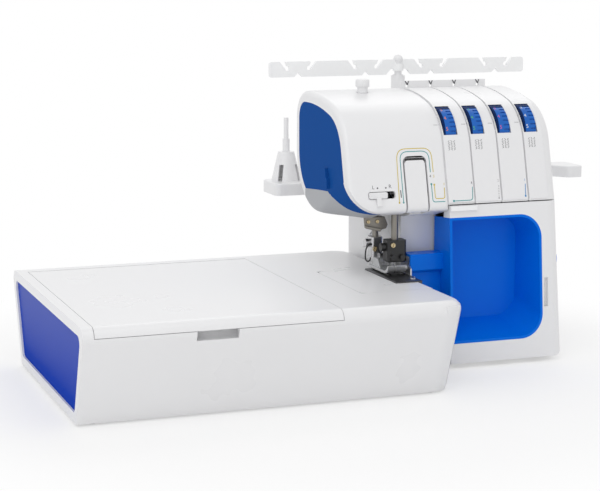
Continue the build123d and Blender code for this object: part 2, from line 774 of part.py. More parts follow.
belt_left = pulley_x + (pulley_width - belt_width) / 2
with BuildPart() as drive_pulley:
    bar_x((pulley_x, pulley_x + pulley_width), shaft_y, shaft_z, pulley_radius)
    bar_x((pulley_x - 1, pulley_x + 20), shaft_y, shaft_z, shaft_radius, mode=Mode.SUBTRACT)
    with Locations(Location((pulley_x + pulley_width / 2, shaft_y, shaft_z), (0, 90, 0))):
        with PolarLocations(17, 6):
            Cylinder(5, 2 * pulley_width, mode=Mode.SUBTRACT)
save(drive_pulley, "drive_pulley")

motor_end = far_wall_x
with BuildPart() as motor:
    bar_x((motor_end - motor_length, motor_end), motor_y, motor_z, motor_radius)
    fillet(motor.edges().group_by(Axis.X)[0], 4)
    bar_x((motor_end - motor_length - 4, motor_end - motor_length), motor_y, motor_z, 8)
    bar_x((motor_end - 2, motor_end + 1), motor_y, motor_z, motor_shaft_radius + 0.3, mode=Mode.SUBTRACT)
save(motor, "motor")

with BuildPart() as motor_pulley:
    bar_x((motor_end - 1.5, pulley_x), motor_y, motor_z, motor_shaft_radius)
    bar_x((pulley_x, pulley_x + pulley_width), motor_y, motor_z, motor_pulley_radius)
save(motor_pulley, "motor_pulley")

belt_gap = 0.3
with BuildPart() as drive_belt:
    with BuildSketch(Plane.YZ.offset(belt_left)):
        for grow, mode in ((belt_gap + belt_thickness, Mode.ADD), (belt_gap, Mode.SUBTRACT)):
            with BuildSketch(mode=Mode.PRIVATE) as loop:
                with Locations((shaft_y, shaft_z)):
                    Circle(pulley_radius + grow)
                with Locations((motor_y, motor_z)):
                    Circle(motor_pulley_radius + grow)
                make_hull()
            add(loop.sketch, mode=mode)
    extrude(amount=belt_width)
save(drive_belt, "drive_belt")

with BuildPart() as handwheel:
    bar_x((wheel_left, wheel_right), shaft_y, shaft_z, handwheel_radius)
    fillet(handwheel.edges().group_by(Axis.X)[-1], 4)
    fillet(handwheel.edges().group_by(Axis.X)[0], 2)
    rim = Location(((wheel_left + wheel_right) / 2, shaft_y, shaft_z), (0, 90, 0))
    with Locations(rim):
        with PolarLocations(handwheel_radius + 1.2, 30):
            Cylinder(2, handwheel_width - 9, mode=Mode.SUBTRACT)
    bar_x((wheel_right - 2.5, far), shaft_y, shaft_z, handwheel_radius - 9, mode=Mode.SUBTRACT)
    bar_x((wheel_left - 1, wheel_right - 3), shaft_y, shaft_z, shaft_radius, mode=Mode.SUBTRACT)
save(handwheel, "handwheel")

# Needle bar and presser
bar_seat = clamp_bottom + 9
with BuildPart() as needle_bar:
    bar_z(0, 0, (bar_seat, needle_bar_top), needle_bar_radius)
    chamfer(needle_bar.edges().group_by(Axis.Z)[-1], 0.8)
save(needle_bar, "needle_bar")

needle_places = ((-needle_spread, 0.0), (needle_spread - 1.0, 0.0))
with BuildPart() as needle_clamp:
    clamp_y = (-clamp_depth / 2, clamp_depth / 2)
    block((-clamp_width / 2, clamp_width / 2), clamp_y, (clamp_bottom, clamp_top))
    fillet(needle_clamp.edges().filter_by(Axis.Z), 3)
    chamfer(needle_clamp.edges().group_by(Axis.Z)[0], 1)
    for screw_x in (-5.5, 4.5):
        bar_y(screw_x, (-clamp_depth / 2 - 3, -clamp_depth / 2), clamp_bottom + 5, 2.6)
    bar_x((-clamp_width / 2 - 5, -clamp_width / 2), 0, clamp_top - 7, 4)
    bar_z(0, 0, (bar_seat, far), needle_bar_radius, mode=Mode.SUBTRACT)
    for x, y in needle_places:
        bar_z(x, y, (0, clamp_bottom + 8), needle_radius, mode=Mode.SUBTRACT)
save(needle_clamp, "needle_clamp")

with BuildPart() as needles:
    for x, y in needle_places:
        with BuildSketch(Plane.XZ.offset(-y)) as blade:
            with BuildLine():
                shank_z = clamp_bottom - 2
                Polyline(
                    (x, needle_tip_z),
                    (x + 0.4, needle_tip_z + 2),
                    (x + 0.45, shank_z - 2),
                    (x + needle_radius, shank_z),
                    (x + needle_radius, clamp_bottom + 8),
                    (x, clamp_bottom + 8),
                    close=True,
                )
            make_face()
        revolve(blade.sketch, axis=Axis((x, y, 0), (0, 0, 1)))
save(needles, "needles")

with BuildPart() as take_up_lever:
    arm = [(take_up_y - 2, take_up_z - 4), (take_up_y + 2, take_up_z + 4), (-3, take_up_z - 3)]
    arm += [(-9, take_up_z - 8), (-9.5, take_up_z - 13), (-6, take_up_z - 12.5), (-1, take_up_z - 8)]
    side_plate(take_up_x, arm)
    bar_x(take_up_x, take_up_y, take_up_z, 5.5)
    bar_x((-20, 20), take_up_y, take_up_z, pivot_pin_radius + shaft_fit, mode=Mode.SUBTRACT)
    bar_x((-20, 20), -7, take_up_z - 10.6, 0.9, mode=Mode.SUBTRACT)
save(take_up_lever, "take_up_lever")

block_top = slot_top - block_gap
with BuildPart() as take_up_cover:
    slab = [(-far, head_bottom), (front_y(head_bottom) + block_depth, head_bottom)]
    slab += [(front_y(bend_z) + block_depth, bend_z), (front_y(block_top) + block_depth, block_top)]
    side_plate((slot_left + block_gap, slot_right - block_gap), slab + [(-far, block_top)])
    add(outer_form, mode=Mode.INTERSECT)
save(take_up_cover, "take_up_cover")

holder_bottom, holder_top = bed_height + 12.0, bed_height + 34.0
with BuildPart() as presser_bar:
    bar_z(presser_x, presser_y, (holder_bottom + 6, presser_bar_top), presser_bar_radius)
    block((presser_x - 6, presser_x + 6), (presser_y - 4, presser_y + 8), (152, 160))
save(presser_bar, "presser_bar")

pivot_radius = 1.5
with BuildPart() as foot_holder:
    block((presser_x - 6, presser_x + 6), (presser_y - 6, presser_y + 7), (holder_bottom + 2, holder_top))
    fillet(foot_holder.edges().filter_by(Axis.Z), 2.5)
    bar_z(presser_x, presser_y, (holder_bottom + 6, far), presser_bar_radius, mode=Mode.SUBTRACT)
    bar_x((presser_x - 11, presser_x - 6), presser_y, holder_top - 6, 4)
    block((-9, 1), (foot_pivot_y - 4, foot_pivot_y + 4), (foot_pivot_z - 4, foot_pivot_z + 8))
    bar_x((-20, 20), foot_pivot_y, foot_pivot_z, pivot_radius + shaft_fit, mode=Mode.SUBTRACT)
save(foot_holder, "foot_holder")

sole_bottom = plate_top + sole_gap
sole_top = sole_bottom + 2.4
with BuildPart() as presser_foot:
    with BuildSketch(Plane.YZ.offset(foot_left)):
        with BuildLine():
            Polyline((-8, sole_bottom), (foot_back, sole_bottom), (foot_back, sole_top), (-7, sole_top))
            toe_top = TangentArc((-7, sole_top), (foot_front, sole_top + 6), tangent=(-1, 0))
            Line(toe_top @ 1, (foot_front - 2, sole_top + 5))
            TangentArc((-8, sole_bottom), (foot_front - 2, sole_top + 5), tangent=(-1, 0))
        make_face()
    extrude(amount=foot_right - foot_left)
    for cheek_x in ((-11.5, -9.5), (1.5, 3.5)):
        cheek = [(8, sole_top), (29, sole_top)]
        cheek += [(foot_pivot_y + 4, foot_pivot_z + 3), (foot_pivot_y - 4, foot_pivot_z + 3)]
        side_plate(cheek_x, cheek)
    bar_x((-11.5, 3.5), foot_pivot_y, foot_pivot_z, pivot_radius)
    block((-needle_spread - 2.5, foot_right - 2), (-5, 5), (0, far), mode=Mode.SUBTRACT)
    block((-6.2, -5.2), (-far, 0), (0, far), mode=Mode.SUBTRACT)
save(presser_foot, "presser_foot")

with BuildPart() as lifter_lever:
    lifter_x = (lug_x[1] + run_gap, lug_x[1] + run_gap + 6)
    handle = [(lifter_y - 3, lifter_z + 3), (lifter_y + 4, lifter_z + 3), (lifter_y + 28, lifter_z - 17)]
    handle += [(lifter_y + 36, lifter_z - 31), (lifter_y + 30, lifter_z - 33)]
    handle += [(lifter_y + 20, lifter_z - 21)]
    side_plate(lifter_x, handle + [(lifter_y - 3, lifter_z - 4)], 2)
    bar_x(lifter_x, lifter_y, lifter_z, 6.5)
    bore_x = (lifter_x[0] - 1, lifter_x[1] + 1)
    bar_x(bore_x, lifter_y, lifter_z, pivot_pin_radius + shaft_fit, mode=Mode.SUBTRACT)
save(lifter_lever, "lifter_lever")

# Knob, selector, thread guides and tension units
with BuildPart() as pressure_knob:
    bar_z(knob_x, knob_y, (knob_seat_z - 10, crown_z + 3.4), knob_neck)
    bar_z(knob_x, knob_y, (crown_z + 1, knob_top), knob_radius)
    fillet(pressure_knob.edges().group_by(Axis.Z)[-1], 1.5)
    with Locations((knob_x, knob_y, (crown_z + 3 + knob_top) / 2)):
        with PolarLocations(knob_radius + 0.7, 20):
            Cylinder(1.0, 8, mode=Mode.SUBTRACT)
save(pressure_knob, "pressure_knob")

selector_mid = (selector_bottom + selector_top) / 2
flange_y = front_y(selector_top + wall) + wall * hypot(1, high_lean) + run_gap
tab_z = (selector_bottom - 6.5, selector_bottom + 2.0)
tab_half = 2.2
with BuildPart() as needle_selector:
    slider_x = (selector_left + run_gap, selector_right - selector_travel - run_gap)
    slider_z = (selector_bottom + run_gap, selector_top - run_gap)
    slider = [(slider_x[0], slider_z[0]), (slider_x[1], slider_z[0])]
    slider += [(slider_x[1], slider_z[1]), (slider_x[0], slider_z[1])]
    front_plate((front_y(selector_mid) - 2.2, flange_y), slider, selector_radius - run_gap)
    fillet(needle_selector.edges().group_by(Axis.Y)[0], 1)
    block(slider_x, (flange_y, flange_y + 1.6), (selector_bottom - wall, selector_top + wall))
    tab_x = (slider_x[0] + slider_x[1]) / 2
    tab = [(front_y(z) - gap, z) for z, gap in zip((*tab_z, *tab_z[::-1]), (0.6, 0.6, 2.8, 2.8))]
    side_plate((tab_x - tab_half, tab_x + tab_half), tab, 0.5)
save(needle_selector, "needle_selector")

with BuildPart() as top_thread_guide:
    plate_y = (guide_y, guide_y + guide_thickness)
    block((guide_left, guide_right), plate_y, (crown_z - 6, guide_top))
    add(outer_form, mode=Mode.SUBTRACT)
    for i in range(dial_count):
        notch_x = guide_notch_first + i * guide_notch_pitch
        block((notch_x - 1, notch_x + 1), (0, far), (guide_top - 6, far), mode=Mode.SUBTRACT)
        bar_y(notch_x, (80, 100), guide_top - 5, 1.8, mode=Mode.SUBTRACT)
save(top_thread_guide, "top_thread_guide")

clip_x = (bay_right, 74.0)
clip_bottom = cover_top - 5.8
clip_proud = 3.0
clip_lip = 1.4
with BuildPart() as thread_clip:
    side_plate(
        clip_x,
        [
            (front_y(clip_bottom), clip_bottom),
            (front_y(clip_bottom) - clip_proud, clip_bottom + 1),
            (front_y(cover_top) - clip_proud - 0.4, cover_top),
            (front_y(cover_top) - clip_proud + clip_lip, cover_top),
            (front_y(cover_top) - clip_proud + clip_lip, clip_bottom + 2.4),
            (front_y(cover_top), clip_bottom + 2.4),
        ],
    )
    add(outer_form, mode=Mode.SUBTRACT)
save(thread_clip, "thread_clip")

dial_names = [f"tension_dial_{i + 1}" for i in range(dial_count)]
for left, name in zip(dial_lefts, dial_names):
    with BuildPart() as tension_dial:
        bar_x((left, left + dial_width), dial_y, dial_z, dial_radius)
        fillet(tension_dial.edges().filter_by(GeomType.CIRCLE), 1)
        with Locations(Location((left + dial_width * 0.75, dial_y, dial_z), (0, 90, 0))):
            with PolarLocations(dial_radius, dial_ribs):
                Box(2, 1.6, dial_width * 0.42, mode=Mode.SUBTRACT)
        bar_x((left - 1, left + dial_width + 1), dial_y, dial_z, dial_bore + shaft_fit, mode=Mode.SUBTRACT)
    save(tension_dial, name)

with BuildPart() as tension_posts:
    for left in dial_lefts:
        stand_out = 1.0
        near = (left - stand_out - 2, left - stand_out)
        away = (left + dial_width + stand_out, left + dial_width + stand_out + 2)
        stand = [(beam_front + 2, beam_top), (42, beam_top), (dial_y + 6, dial_z + 5)]
        stand += [(dial_y - 5, dial_z + 5), (dial_y - 5, dial_z - 6)]
        for cheek_x in (near, away):
            side_plate(cheek_x, stand)
        block((near[0], away[1]), (38, 42), (beam_top, beam_top + 3))
        bar_x((near[0], away[1]), dial_y, dial_z, dial_bore)
save(tension_posts, "tension_posts")

# Controls on the right side
stitch_left = right_x(dial_s_z - dial_s_radius) + run_gap
with BuildPart() as stitch_dial:
    bar_x((stitch_left, stitch_left + 9), dial_s_y, dial_s_z, dial_s_radius)
    fillet(stitch_dial.edges().group_by(Axis.X)[-1], 1.5)
    with Locations(Location((stitch_left + 5, dial_s_y, dial_s_z), (0, 90, 0))):
        with PolarLocations(dial_s_radius + 0.6, 24):
            Cylinder(1.2, 6, mode=Mode.SUBTRACT)
    mark_y = (dial_s_y - 0.8, dial_s_y + 0.8)
    block((stitch_left + 8, far), mark_y, (dial_s_z + 4, dial_s_z + 11), mode=Mode.SUBTRACT)
    bar_x((right_split + 2, stitch_left), dial_s_y, dial_s_z, stitch_shaft_radius)
save(stitch_dial, "stitch_dial")

lever_tip_z = lever_z + lever_arm
lever_out = right_x(lever_z) + run_gap
with BuildPart() as feed_lever:
    bar_x((right_split + 1, right_split + 4), lever_y, lever_z, 8)
    block((right_split + 1, right_split + 4), (lever_y - 4, lever_y + 4), (lever_z, lever_tip_z + 3))
    bar_x((right_split + 1, lever_out + 1), lever_y, lever_tip_z, 2.6)
    with BuildSketch(Plane.YZ.offset(lever_out)):
        with Locations((lever_y, lever_tip_z)):
            RectangleRounded(8, 16, 3)
    extrude(amount=7)
    bore_x = (right_split, right_split + 6)
    bar_x(bore_x, lever_y, lever_z, lever_pin_radius + shaft_fit, mode=Mode.SUBTRACT)
save(feed_lever, "feed_lever")

switch_y = inlet_y - 9
socket_y = inlet_y + 8
socket_depth = 12.0
inlet_out = right_x(inlet_z_range[1]) + 1
rocker_half = 9.0
rocker_pin_radius = 1.2
rocker_x = inlet_out - 4
with BuildPart() as power_inlet:
    block((right_split + 1, inlet_out), inlet_y_range, inlet_z_range)
    socket = ((socket_y - 7, socket_y + 7), (inlet_z - 9, inlet_z + 9))
    block((inlet_out - socket_depth, far), *socket, mode=Mode.SUBTRACT)
    with Locations((inlet_out - socket_depth, socket_y, inlet_z)):
        with GridLocations(0, 5, 1, 2):
            Box(8, 1.5, 4, align=(Align.MIN, Align.CENTER, Align.CENTER))
    well_y = (switch_y - 6, switch_y + 6)
    block((inlet_out - 10, far), well_y, (inlet_z - 10.5, inlet_z + 10.5), mode=Mode.SUBTRACT)
    bar_y(rocker_x, well_y, inlet_z, rocker_pin_radius)
save(power_inlet, "power_inlet")

with BuildPart() as power_switch:
    with BuildSketch(Plane.XZ.offset(-(switch_y + 5.5))):
        with BuildLine():
            low, high = inlet_z - rocker_half, inlet_z + rocker_half
            face_x = inlet_out + 2.5
            Polyline((face_x, high), (rocker_x - 3, high), (rocker_x - 3, low), (face_x, low))
            ThreePointArc((face_x, low), (inlet_out, inlet_z), (face_x, high))
        make_face()
    extrude(amount=11)
    bore_y = (switch_y - 7, switch_y + 7)
    bar_y(rocker_x, bore_y, inlet_z, rocker_pin_radius + shaft_fit, mode=Mode.SUBTRACT)
save(power_switch, "power_switch")

# Spool stand behind the machine
stand_gap = 4.0
tray_under = tray_z - tray_thickness
tray_plan = [
    (-74, 138),
    (-26, 138),
    (12, back_y + stand_gap),
    (166, back_y + stand_gap),
    (180, 184),
    (266, 194),
    (284, 170),
    (303, 170),
    (303, 214),
    (160, 214),
    (-20, 192),
    (-74, 182),
]
with BuildPart() as spool_tray:
    with BuildSketch(Plane.XY.offset(tray_under)) as tray_outline:
        with BuildLine():
            Polyline(*tray_plan, close=True)
        make_face()
        fillet(tray_outline.vertices(), 6)
    extrude(tray_outline.sketch, amount=tray_thickness)
    fillet(spool_tray.edges().group_by(Axis.Z)[-1], 1.5)
    with BuildSketch(Plane.XY.offset(tray_under)) as tray_hollow:
        add(tray_outline.sketch_local)
        offset(amount=-wall, mode=Mode.REPLACE)
    extrude(tray_hollow.sketch, amount=tray_thickness - wall, mode=Mode.SUBTRACT)
    block((24, 140), (back_y + stand_gap + wall, rear_back - 1), (rear_shelf_z, tray_z - 1))
    bar_z(post_x, post_y, (tray_under, tray_z - 1), post_radii[0] + wall)
    bar_z(post_x, post_y, (tray_under + wall, far), post_radii[0], mode=Mode.SUBTRACT)
save(spool_tray, "spool_tray")

pin_places = [(pin_first_x + i * pin_pitch_x, pin_first_y + i * pin_pitch_y) for i in range(dial_count)]
cone_height = 30.0
cone_tip = 8.5
cone_wall = 2.0
on_floor = (Align.CENTER, Align.CENTER, Align.MIN)
with BuildPart() as spool_pins:
    for x, y in pin_places:
        bar_z(x, y, (tray_z, pin_top - 22), pin_radius + 1.2)
        bar_z(x, y, (pin_top - 22, pin_top), pin_radius)
save(spool_pins, "spool_pins")

with BuildPart() as spool_cones:
    for x, y in pin_places:
        with Locations((x, y, tray_z)):
            Cone(cone_radius, cone_tip, cone_height, align=on_floor)
            hollow = (cone_radius - cone_wall, cone_tip - cone_wall, cone_height - cone_wall)
            Cone(*hollow, align=on_floor, mode=Mode.SUBTRACT)
            with PolarLocations(cone_radius, 4, start_angle=45):
                Box(16, 5, 34, mode=Mode.SUBTRACT)
        bar_z(x, y, (tray_z, far), pin_radius + 1.2, mode=Mode.SUBTRACT)
save(spool_cones, "spool_cones")

# Telescopic thread post and thread bar
with BuildPart() as post_lower:
    bar_z(post_x, post_y, (tray_under + wall, post_top), post_radii[0])
    bar_z(post_x, post_y, (tray_under + 2 * wall, far), post_radii[1] + post_fit, mode=Mode.SUBTRACT)
save(post_lower, "post_lower")

with BuildPart() as post_middle:
    bar_z(post_x, post_y, (tray_under + 2 * wall + 1, post_top + 1), post_radii[1])
    bar_z(post_x, post_y, (tray_under + 3 * wall + 1, far), post_radii[2] + post_fit, mode=Mode.SUBTRACT)
save(post_middle, "post_middle")

ball_radius = post_radii[2] + 1.2
with BuildPart() as post_upper:
    bar_z(post_x, post_y, (tray_under + 3 * wall + 2, bar_top), post_radii[2])
    with Locations((post_x, post_y, bar_top)):
        Sphere(ball_radius)
save(post_upper, "post_upper")

pair_first_x, pair_pitch = -43.1, 75.5
eye_reach, eye_radius, eye_drop = 12.0, 2.4, 7.0
entry_near, entry_far = 14.0, 20.5
notch_half, notch_rise = 4.5, 4.6
arch_near, arch_far, arch_rise = 9.0, 14.5, 6.0
bar_y_range = (post_y - bar_thickness / 2, post_y + bar_thickness / 2)
cut_y_range = (post_y - bar_thickness, post_y + bar_thickness)
with BuildPart() as thread_bar:
    block((bar_left, bar_right), bar_y_range, (bar_bottom, bar_top))
    fillet(thread_bar.edges().filter_by(Axis.Y), 3)
    for i in range(dial_count):
        x = pair_first_x + i * pair_pitch
        notch = [(x - notch_half, bar_bottom), (x, bar_bottom + notch_rise), (x + notch_half, bar_bottom)]
        front_plate(cut_y_range, notch, mode=Mode.SUBTRACT)
        for side in (-1, 1):
            eye_x, eye_z = x + side * eye_reach, bar_top - eye_drop
            entry = [(x + side * entry_far, bar_top), (x + side * entry_near, bar_top), (eye_x, eye_z + 1)]
            front_plate(cut_y_range, entry + [(eye_x + side, eye_z - 2)], mode=Mode.SUBTRACT)
            bar_y(eye_x, cut_y_range, eye_z, eye_radius, mode=Mode.SUBTRACT)
    arch = [(post_x - arch_far, bar_bottom), (post_x - arch_near, bar_bottom + arch_rise)]
    arch += [(post_x + arch_near, bar_bottom + arch_rise), (post_x + arch_far, bar_bottom)]
    front_plate(cut_y_range, arch, mode=Mode.SUBTRACT)
    bar_z(post_x, post_y, (bar_bottom + arch_rise - 2, bar_top - 4.5), post_radii[2] + 1.8)
    bar_z(post_x, post_y, (0, far), post_radii[2], mode=Mode.SUBTRACT)
    with Locations((post_x, post_y, bar_top)):
        Sphere(ball_radius, mode=Mode.SUBTRACT)
save(thread_bar, "thread_bar")


# Wide table in side view
def table_side(inset, top):
    """Side view of the table with its leaning front and back, drawn in by inset."""
    lean = (table_half_top - table_half_foot) / (bed_height - table_foot)
    foot = table_foot + inset
    low = table_half_foot + lean * inset - inset * hypot(1, lean)
    high = low + lean * (top - foot)
    return [
        (table_mid_y - low, foot),
        (table_mid_y - high, top),
        (table_mid_y + high, top),
        (table_mid_y + low, foot),
    ]


with BuildPart() as table_form:
    side_plate((table_left, table_right), table_side(0, bed_height))
    end_edges = table_form.faces().sort_by(Axis.X)[-1].edges()
    fillet(end_edges.filter_by(Axis.Y, reverse=True), table_corner_radius)
    top_edges = table_form.faces().sort_by(Axis.Z)[-1].edges()
    fillet(top_edges.sort_by(Axis.X)[1:], table_edge_radius)

notch_gap = run_gap
lid_rear_gap = 2.0
lid_pin_y = lid_back_y - 3.0
deck_z = bed_height - lid_thickness
notch_x = (bed_left - notch_gap, far)
notch_y = (bed_front - notch_gap, bed_back + notch_gap)
with BuildPart() as table_store:
    side_plate((table_left + 8, table_right - table_wall), table_side(table_wall, deck_z))
    long_edges = table_store.edges().filter_by(Axis.X).group_by(Axis.Z)[-1]
    fillet(long_edges, table_edge_radius - 1)
    well_y = (notch_y[0] - table_wall, notch_y[1] + table_wall)
    block((notch_x[0] - table_wall, far), well_y, (0, far), mode=Mode.SUBTRACT)

with BuildPart() as lid_zone:
    block((lid_left, lid_right), (-far, lid_back_y), (lid_seam_z, far))
    block((lid_left, lid_right), (lid_lip_y, lid_back_y), (lid_seam_z, deck_z), mode=Mode.SUBTRACT)

with BuildPart() as table_lid:
    add(table_form.part)
    add(table_store.part, mode=Mode.SUBTRACT)
    add(lid_zone.part, mode=Mode.INTERSECT)
    bar_x((lid_left, lid_right), lid_pin_y, lid_pin_z, 3)
    bore_x = (lid_left - 1, lid_right + 1)
    bar_x(bore_x, lid_pin_y, lid_pin_z, lid_pin_radius + shaft_fit, mode=Mode.SUBTRACT)
save(table_lid, "table_lid")

panel_rim = 9.0
panel_radius = 7.0
panel_pocket = 5.0
panel_thickness = 3.0
slot_x = (-245.5, -207.5)
lid_cut = (lid_left - run_gap, lid_right + run_gap)
with BuildPart() as table_tub:
    add(table_form.part)
    add(table_store.part, mode=Mode.SUBTRACT)
    block(notch_x, notch_y, (0, far), mode=Mode.SUBTRACT)
    block(lid_cut, (-far, lid_lip_y), (lid_seam_z - run_gap, far), mode=Mode.SUBTRACT)
    block(lid_cut, (lid_lip_y - 1, lid_back_y + lid_rear_gap), (deck_z - 4, far), mode=Mode.SUBTRACT)
    pocket_side = table_side(panel_rim, bed_height - panel_rim)
    side_plate((table_left - 1, table_left + panel_pocket), pocket_side, panel_radius, Mode.SUBTRACT)
    block((lid_right + run_gap, lid_right + 7), (lid_pin_y - 5, lid_pin_y + 7), (deck_z - 4.5, deck_z + 1))
    bar_x((lid_left - 4, lid_right + 5), lid_pin_y, lid_pin_z, lid_pin_radius, mode=Mode.SUBTRACT)
    block(slot_x, (-far, lid_lip_y - 38), (lid_seam_z - 9, lid_seam_z), mode=Mode.SUBTRACT)
save(table_tub, "table_tub")

with BuildPart() as table_end_panel:
    panel_left = table_left + panel_pocket - panel_thickness
    panel_side = table_side(panel_rim, bed_height - panel_rim)
    side_plate((panel_left, panel_left + panel_thickness), panel_side, panel_radius)
save(table_end_panel, "table_end_panel")

with BuildPart() as lid_hinge_pin:
    bar_x((lid_left - 4, lid_right + 5), lid_pin_y, lid_pin_z, lid_pin_radius)
save(lid_hinge_pin, "lid_hinge_pin")

with BuildPart() as table_feet:
    for x, y in ((-330, -104), (-330, 110), (-10, -104), (-10, 110)):
        bar_z(x, y, (0, table_foot), 7)
save(table_feet, "table_feet")
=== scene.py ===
"""Dressing of an overlock machine with a wide table, laid out as an add-on."""

from math import cos, degrees, pi, radians, sin

import bmesh
import bpy
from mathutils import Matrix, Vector
from mathutils.bvhtree import BVHTree


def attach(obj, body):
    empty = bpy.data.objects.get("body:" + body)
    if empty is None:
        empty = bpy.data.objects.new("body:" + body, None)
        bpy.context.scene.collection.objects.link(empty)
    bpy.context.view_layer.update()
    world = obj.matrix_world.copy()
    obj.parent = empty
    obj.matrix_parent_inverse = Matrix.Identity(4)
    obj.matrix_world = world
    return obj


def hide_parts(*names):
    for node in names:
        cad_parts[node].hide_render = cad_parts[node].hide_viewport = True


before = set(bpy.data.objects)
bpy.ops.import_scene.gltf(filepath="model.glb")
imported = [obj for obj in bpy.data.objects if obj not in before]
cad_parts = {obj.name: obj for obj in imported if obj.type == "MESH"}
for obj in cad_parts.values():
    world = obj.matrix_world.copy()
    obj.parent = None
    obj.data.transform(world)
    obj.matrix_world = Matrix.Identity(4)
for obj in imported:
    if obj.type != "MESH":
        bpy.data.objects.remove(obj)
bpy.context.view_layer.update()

bl_info = {
    "name": "Overlock machine dressing",
    "version": (1, 0, 0),
    "blender": (4, 5, 0),
    "location": "View3D > Sidebar > Overlock",
    "description": "Finishes, marks and small fittings for an overlock machine with a wide table",
    "category": "Object",
}

# Lengths below are in millimetres unless they say otherwise
MM = 0.001


class OverlockColours(bpy.types.PropertyGroup):
    """Colours of the machine's finishes."""

    white: bpy.props.FloatVectorProperty(
        name="White plastic", description="Covers and table", subtype="COLOR", default=(0.83, 0.83, 0.84)
    )
    blue: bpy.props.FloatVectorProperty(
        name="Blue plastic", description="Tray, guard, stitch dial and feed lever", subtype="COLOR",
        default=(0.0, 0.155, 0.74)
    )
    face_blue: bpy.props.FloatVectorProperty(
        name="Face cover blue", description="Cover on the left end of the head", subtype="COLOR",
        default=(0.008, 0.075, 0.31)
    )
    panel_blue: bpy.props.FloatVectorProperty(
        name="Table end blue", description="Gloss panel at the table's end", subtype="COLOR",
        default=(0.008, 0.05, 0.44)
    )
    lens: bpy.props.FloatVectorProperty(
        name="Lamp lens", description="Frosted lens under the head", subtype="COLOR", default=(0.42, 0.43, 0.45)
    )
    steel: bpy.props.FloatVectorProperty(
        name="Steel", description="Needles, knives, loopers and shafts", subtype="COLOR", default=(0.55, 0.55, 0.56)
    )
    brass: bpy.props.FloatVectorProperty(
        name="Brass", description="Screws by the needles and bushes", subtype="COLOR", default=(0.52, 0.43, 0.27)
    )
    yellow: bpy.props.FloatVectorProperty(
        name="Yellow mark", description="First thread path", subtype="COLOR", default=(0.62, 0.47, 0.05)
    )
    teal: bpy.props.FloatVectorProperty(
        name="Teal mark", description="Second thread path", subtype="COLOR", default=(0.05, 0.32, 0.33)
    )
    # Grey ink of the small printed marks, also used as painted shade in the thread guide's notches
    ink: bpy.props.FloatVectorProperty(
        name="Grey ink", description="Small printed marks", subtype="COLOR", default=(0.09, 0.09, 0.10)
    )


class OverlockStage(bpy.types.PropertyGroup):
    """Camera, lamps and room light."""

    camera_place: bpy.props.FloatVectorProperty(
        name="Camera place", description="Where the camera stands", subtype="TRANSLATION", unit="LENGTH",
        default=(-0.6583, -1.53105, 0.39865)
    )
    camera_yaw: bpy.props.FloatProperty(
        name="Camera yaw", description="Turn to the right", subtype="ANGLE", default=radians(20.09)
    )
    camera_pitch: bpy.props.FloatProperty(
        name="Camera pitch", description="Tilt downwards", subtype="ANGLE", default=radians(9.51)
    )
    camera_lens: bpy.props.FloatProperty(
        name="Lens", description="Focal length on a 36 mm sensor, in millimetres", default=103.63
    )
    key_power: bpy.props.FloatProperty(name="Key lamp", description="Power of the large top lamp", default=8.0)
    fill_power: bpy.props.FloatProperty(
        name="Fill lamps", description="Power of the lamps at the left and behind", default=4.5
    )
    sky_strength: bpy.props.FloatProperty(name="Room light", description="Even light from all round", default=0.72)


def colours():
    """The chosen colours."""
    return bpy.context.scene.overlock_colours


def stage_settings():
    """The chosen stage."""
    return bpy.context.scene.overlock_stage


# Materials, with the scale and detail of their noise
FLOW_MARKS, PLASTIC_GRAIN = (14.0, 3.0), (900.0, 2.0)
RUBBER_CLOUDS, RUBBER_GRAIN = (60.0, 2.0), (1400.0, 3.0)
INK_GRAIN = (2500.0, 2.0)
PAPER_GRAIN = (700.0, 4.0)


def shader_material(name):
    """A new node material, with its tree and its main shader."""
    material = bpy.data.materials.new(name)
    material.use_nodes = True
    tree = material.node_tree
    return material, tree, tree.nodes["Principled BSDF"]


def noise_node(tree, scale, detail):
    """Grey noise in object space."""
    place = tree.nodes.new("ShaderNodeTexCoord")
    noise = tree.nodes.new("ShaderNodeTexNoise")
    noise.inputs["Scale"].default_value = scale
    noise.inputs["Detail"].default_value = detail
    noise.inputs["Roughness"].default_value = 0.55
    tree.links.new(place.outputs["Object"], noise.inputs["Vector"])
    return noise.outputs["Fac"]


def ramp_node(tree, source, low, high, start=0.0, stop=1.0):
    """Spread a grey source between two values."""
    spread = tree.nodes.new("ShaderNodeMapRange")
    for key, value in (("From Min", start), ("From Max", stop), ("To Min", low), ("To Max", high)):
        spread.inputs[key].default_value = value
    tree.links.new(source, spread.inputs["Value"])
    return spread.outputs["Result"]


def tint_node(tree, source, colour, shift):
    """Vary a colour by a grey source."""
    mix = tree.nodes.new("ShaderNodeMix")
    mix.data_type = "RGBA"
    mix.inputs["A"].default_value = [max(0.0, c * (1 - shift)) for c in colour] + [1.0]
    mix.inputs["B"].default_value = [min(1.0, c * (1 + shift)) for c in colour] + [1.0]
    tree.links.new(source, mix.inputs["Factor"])
    return mix.outputs["Result"]


def uneven(tree, shader, source, colour, shift, low, high):
    """Vary a shader's colour and roughness by a grey source."""
    tree.links.new(tint_node(tree, source, colour, shift), shader.inputs["Base Color"])
    tree.links.new(ramp_node(tree, source, low, high), shader.inputs["Roughness"])


def bump_node(tree, shader, source, strength, distance):
    """Feed a grey source to the shader as fine relief."""
    bump = tree.nodes.new("ShaderNodeBump")
    bump.inputs["Strength"].default_value = strength
    bump.inputs["Distance"].default_value = distance
    tree.links.new(source, bump.inputs["Height"])
    tree.links.new(bump.outputs["Normal"], shader.inputs["Normal"])


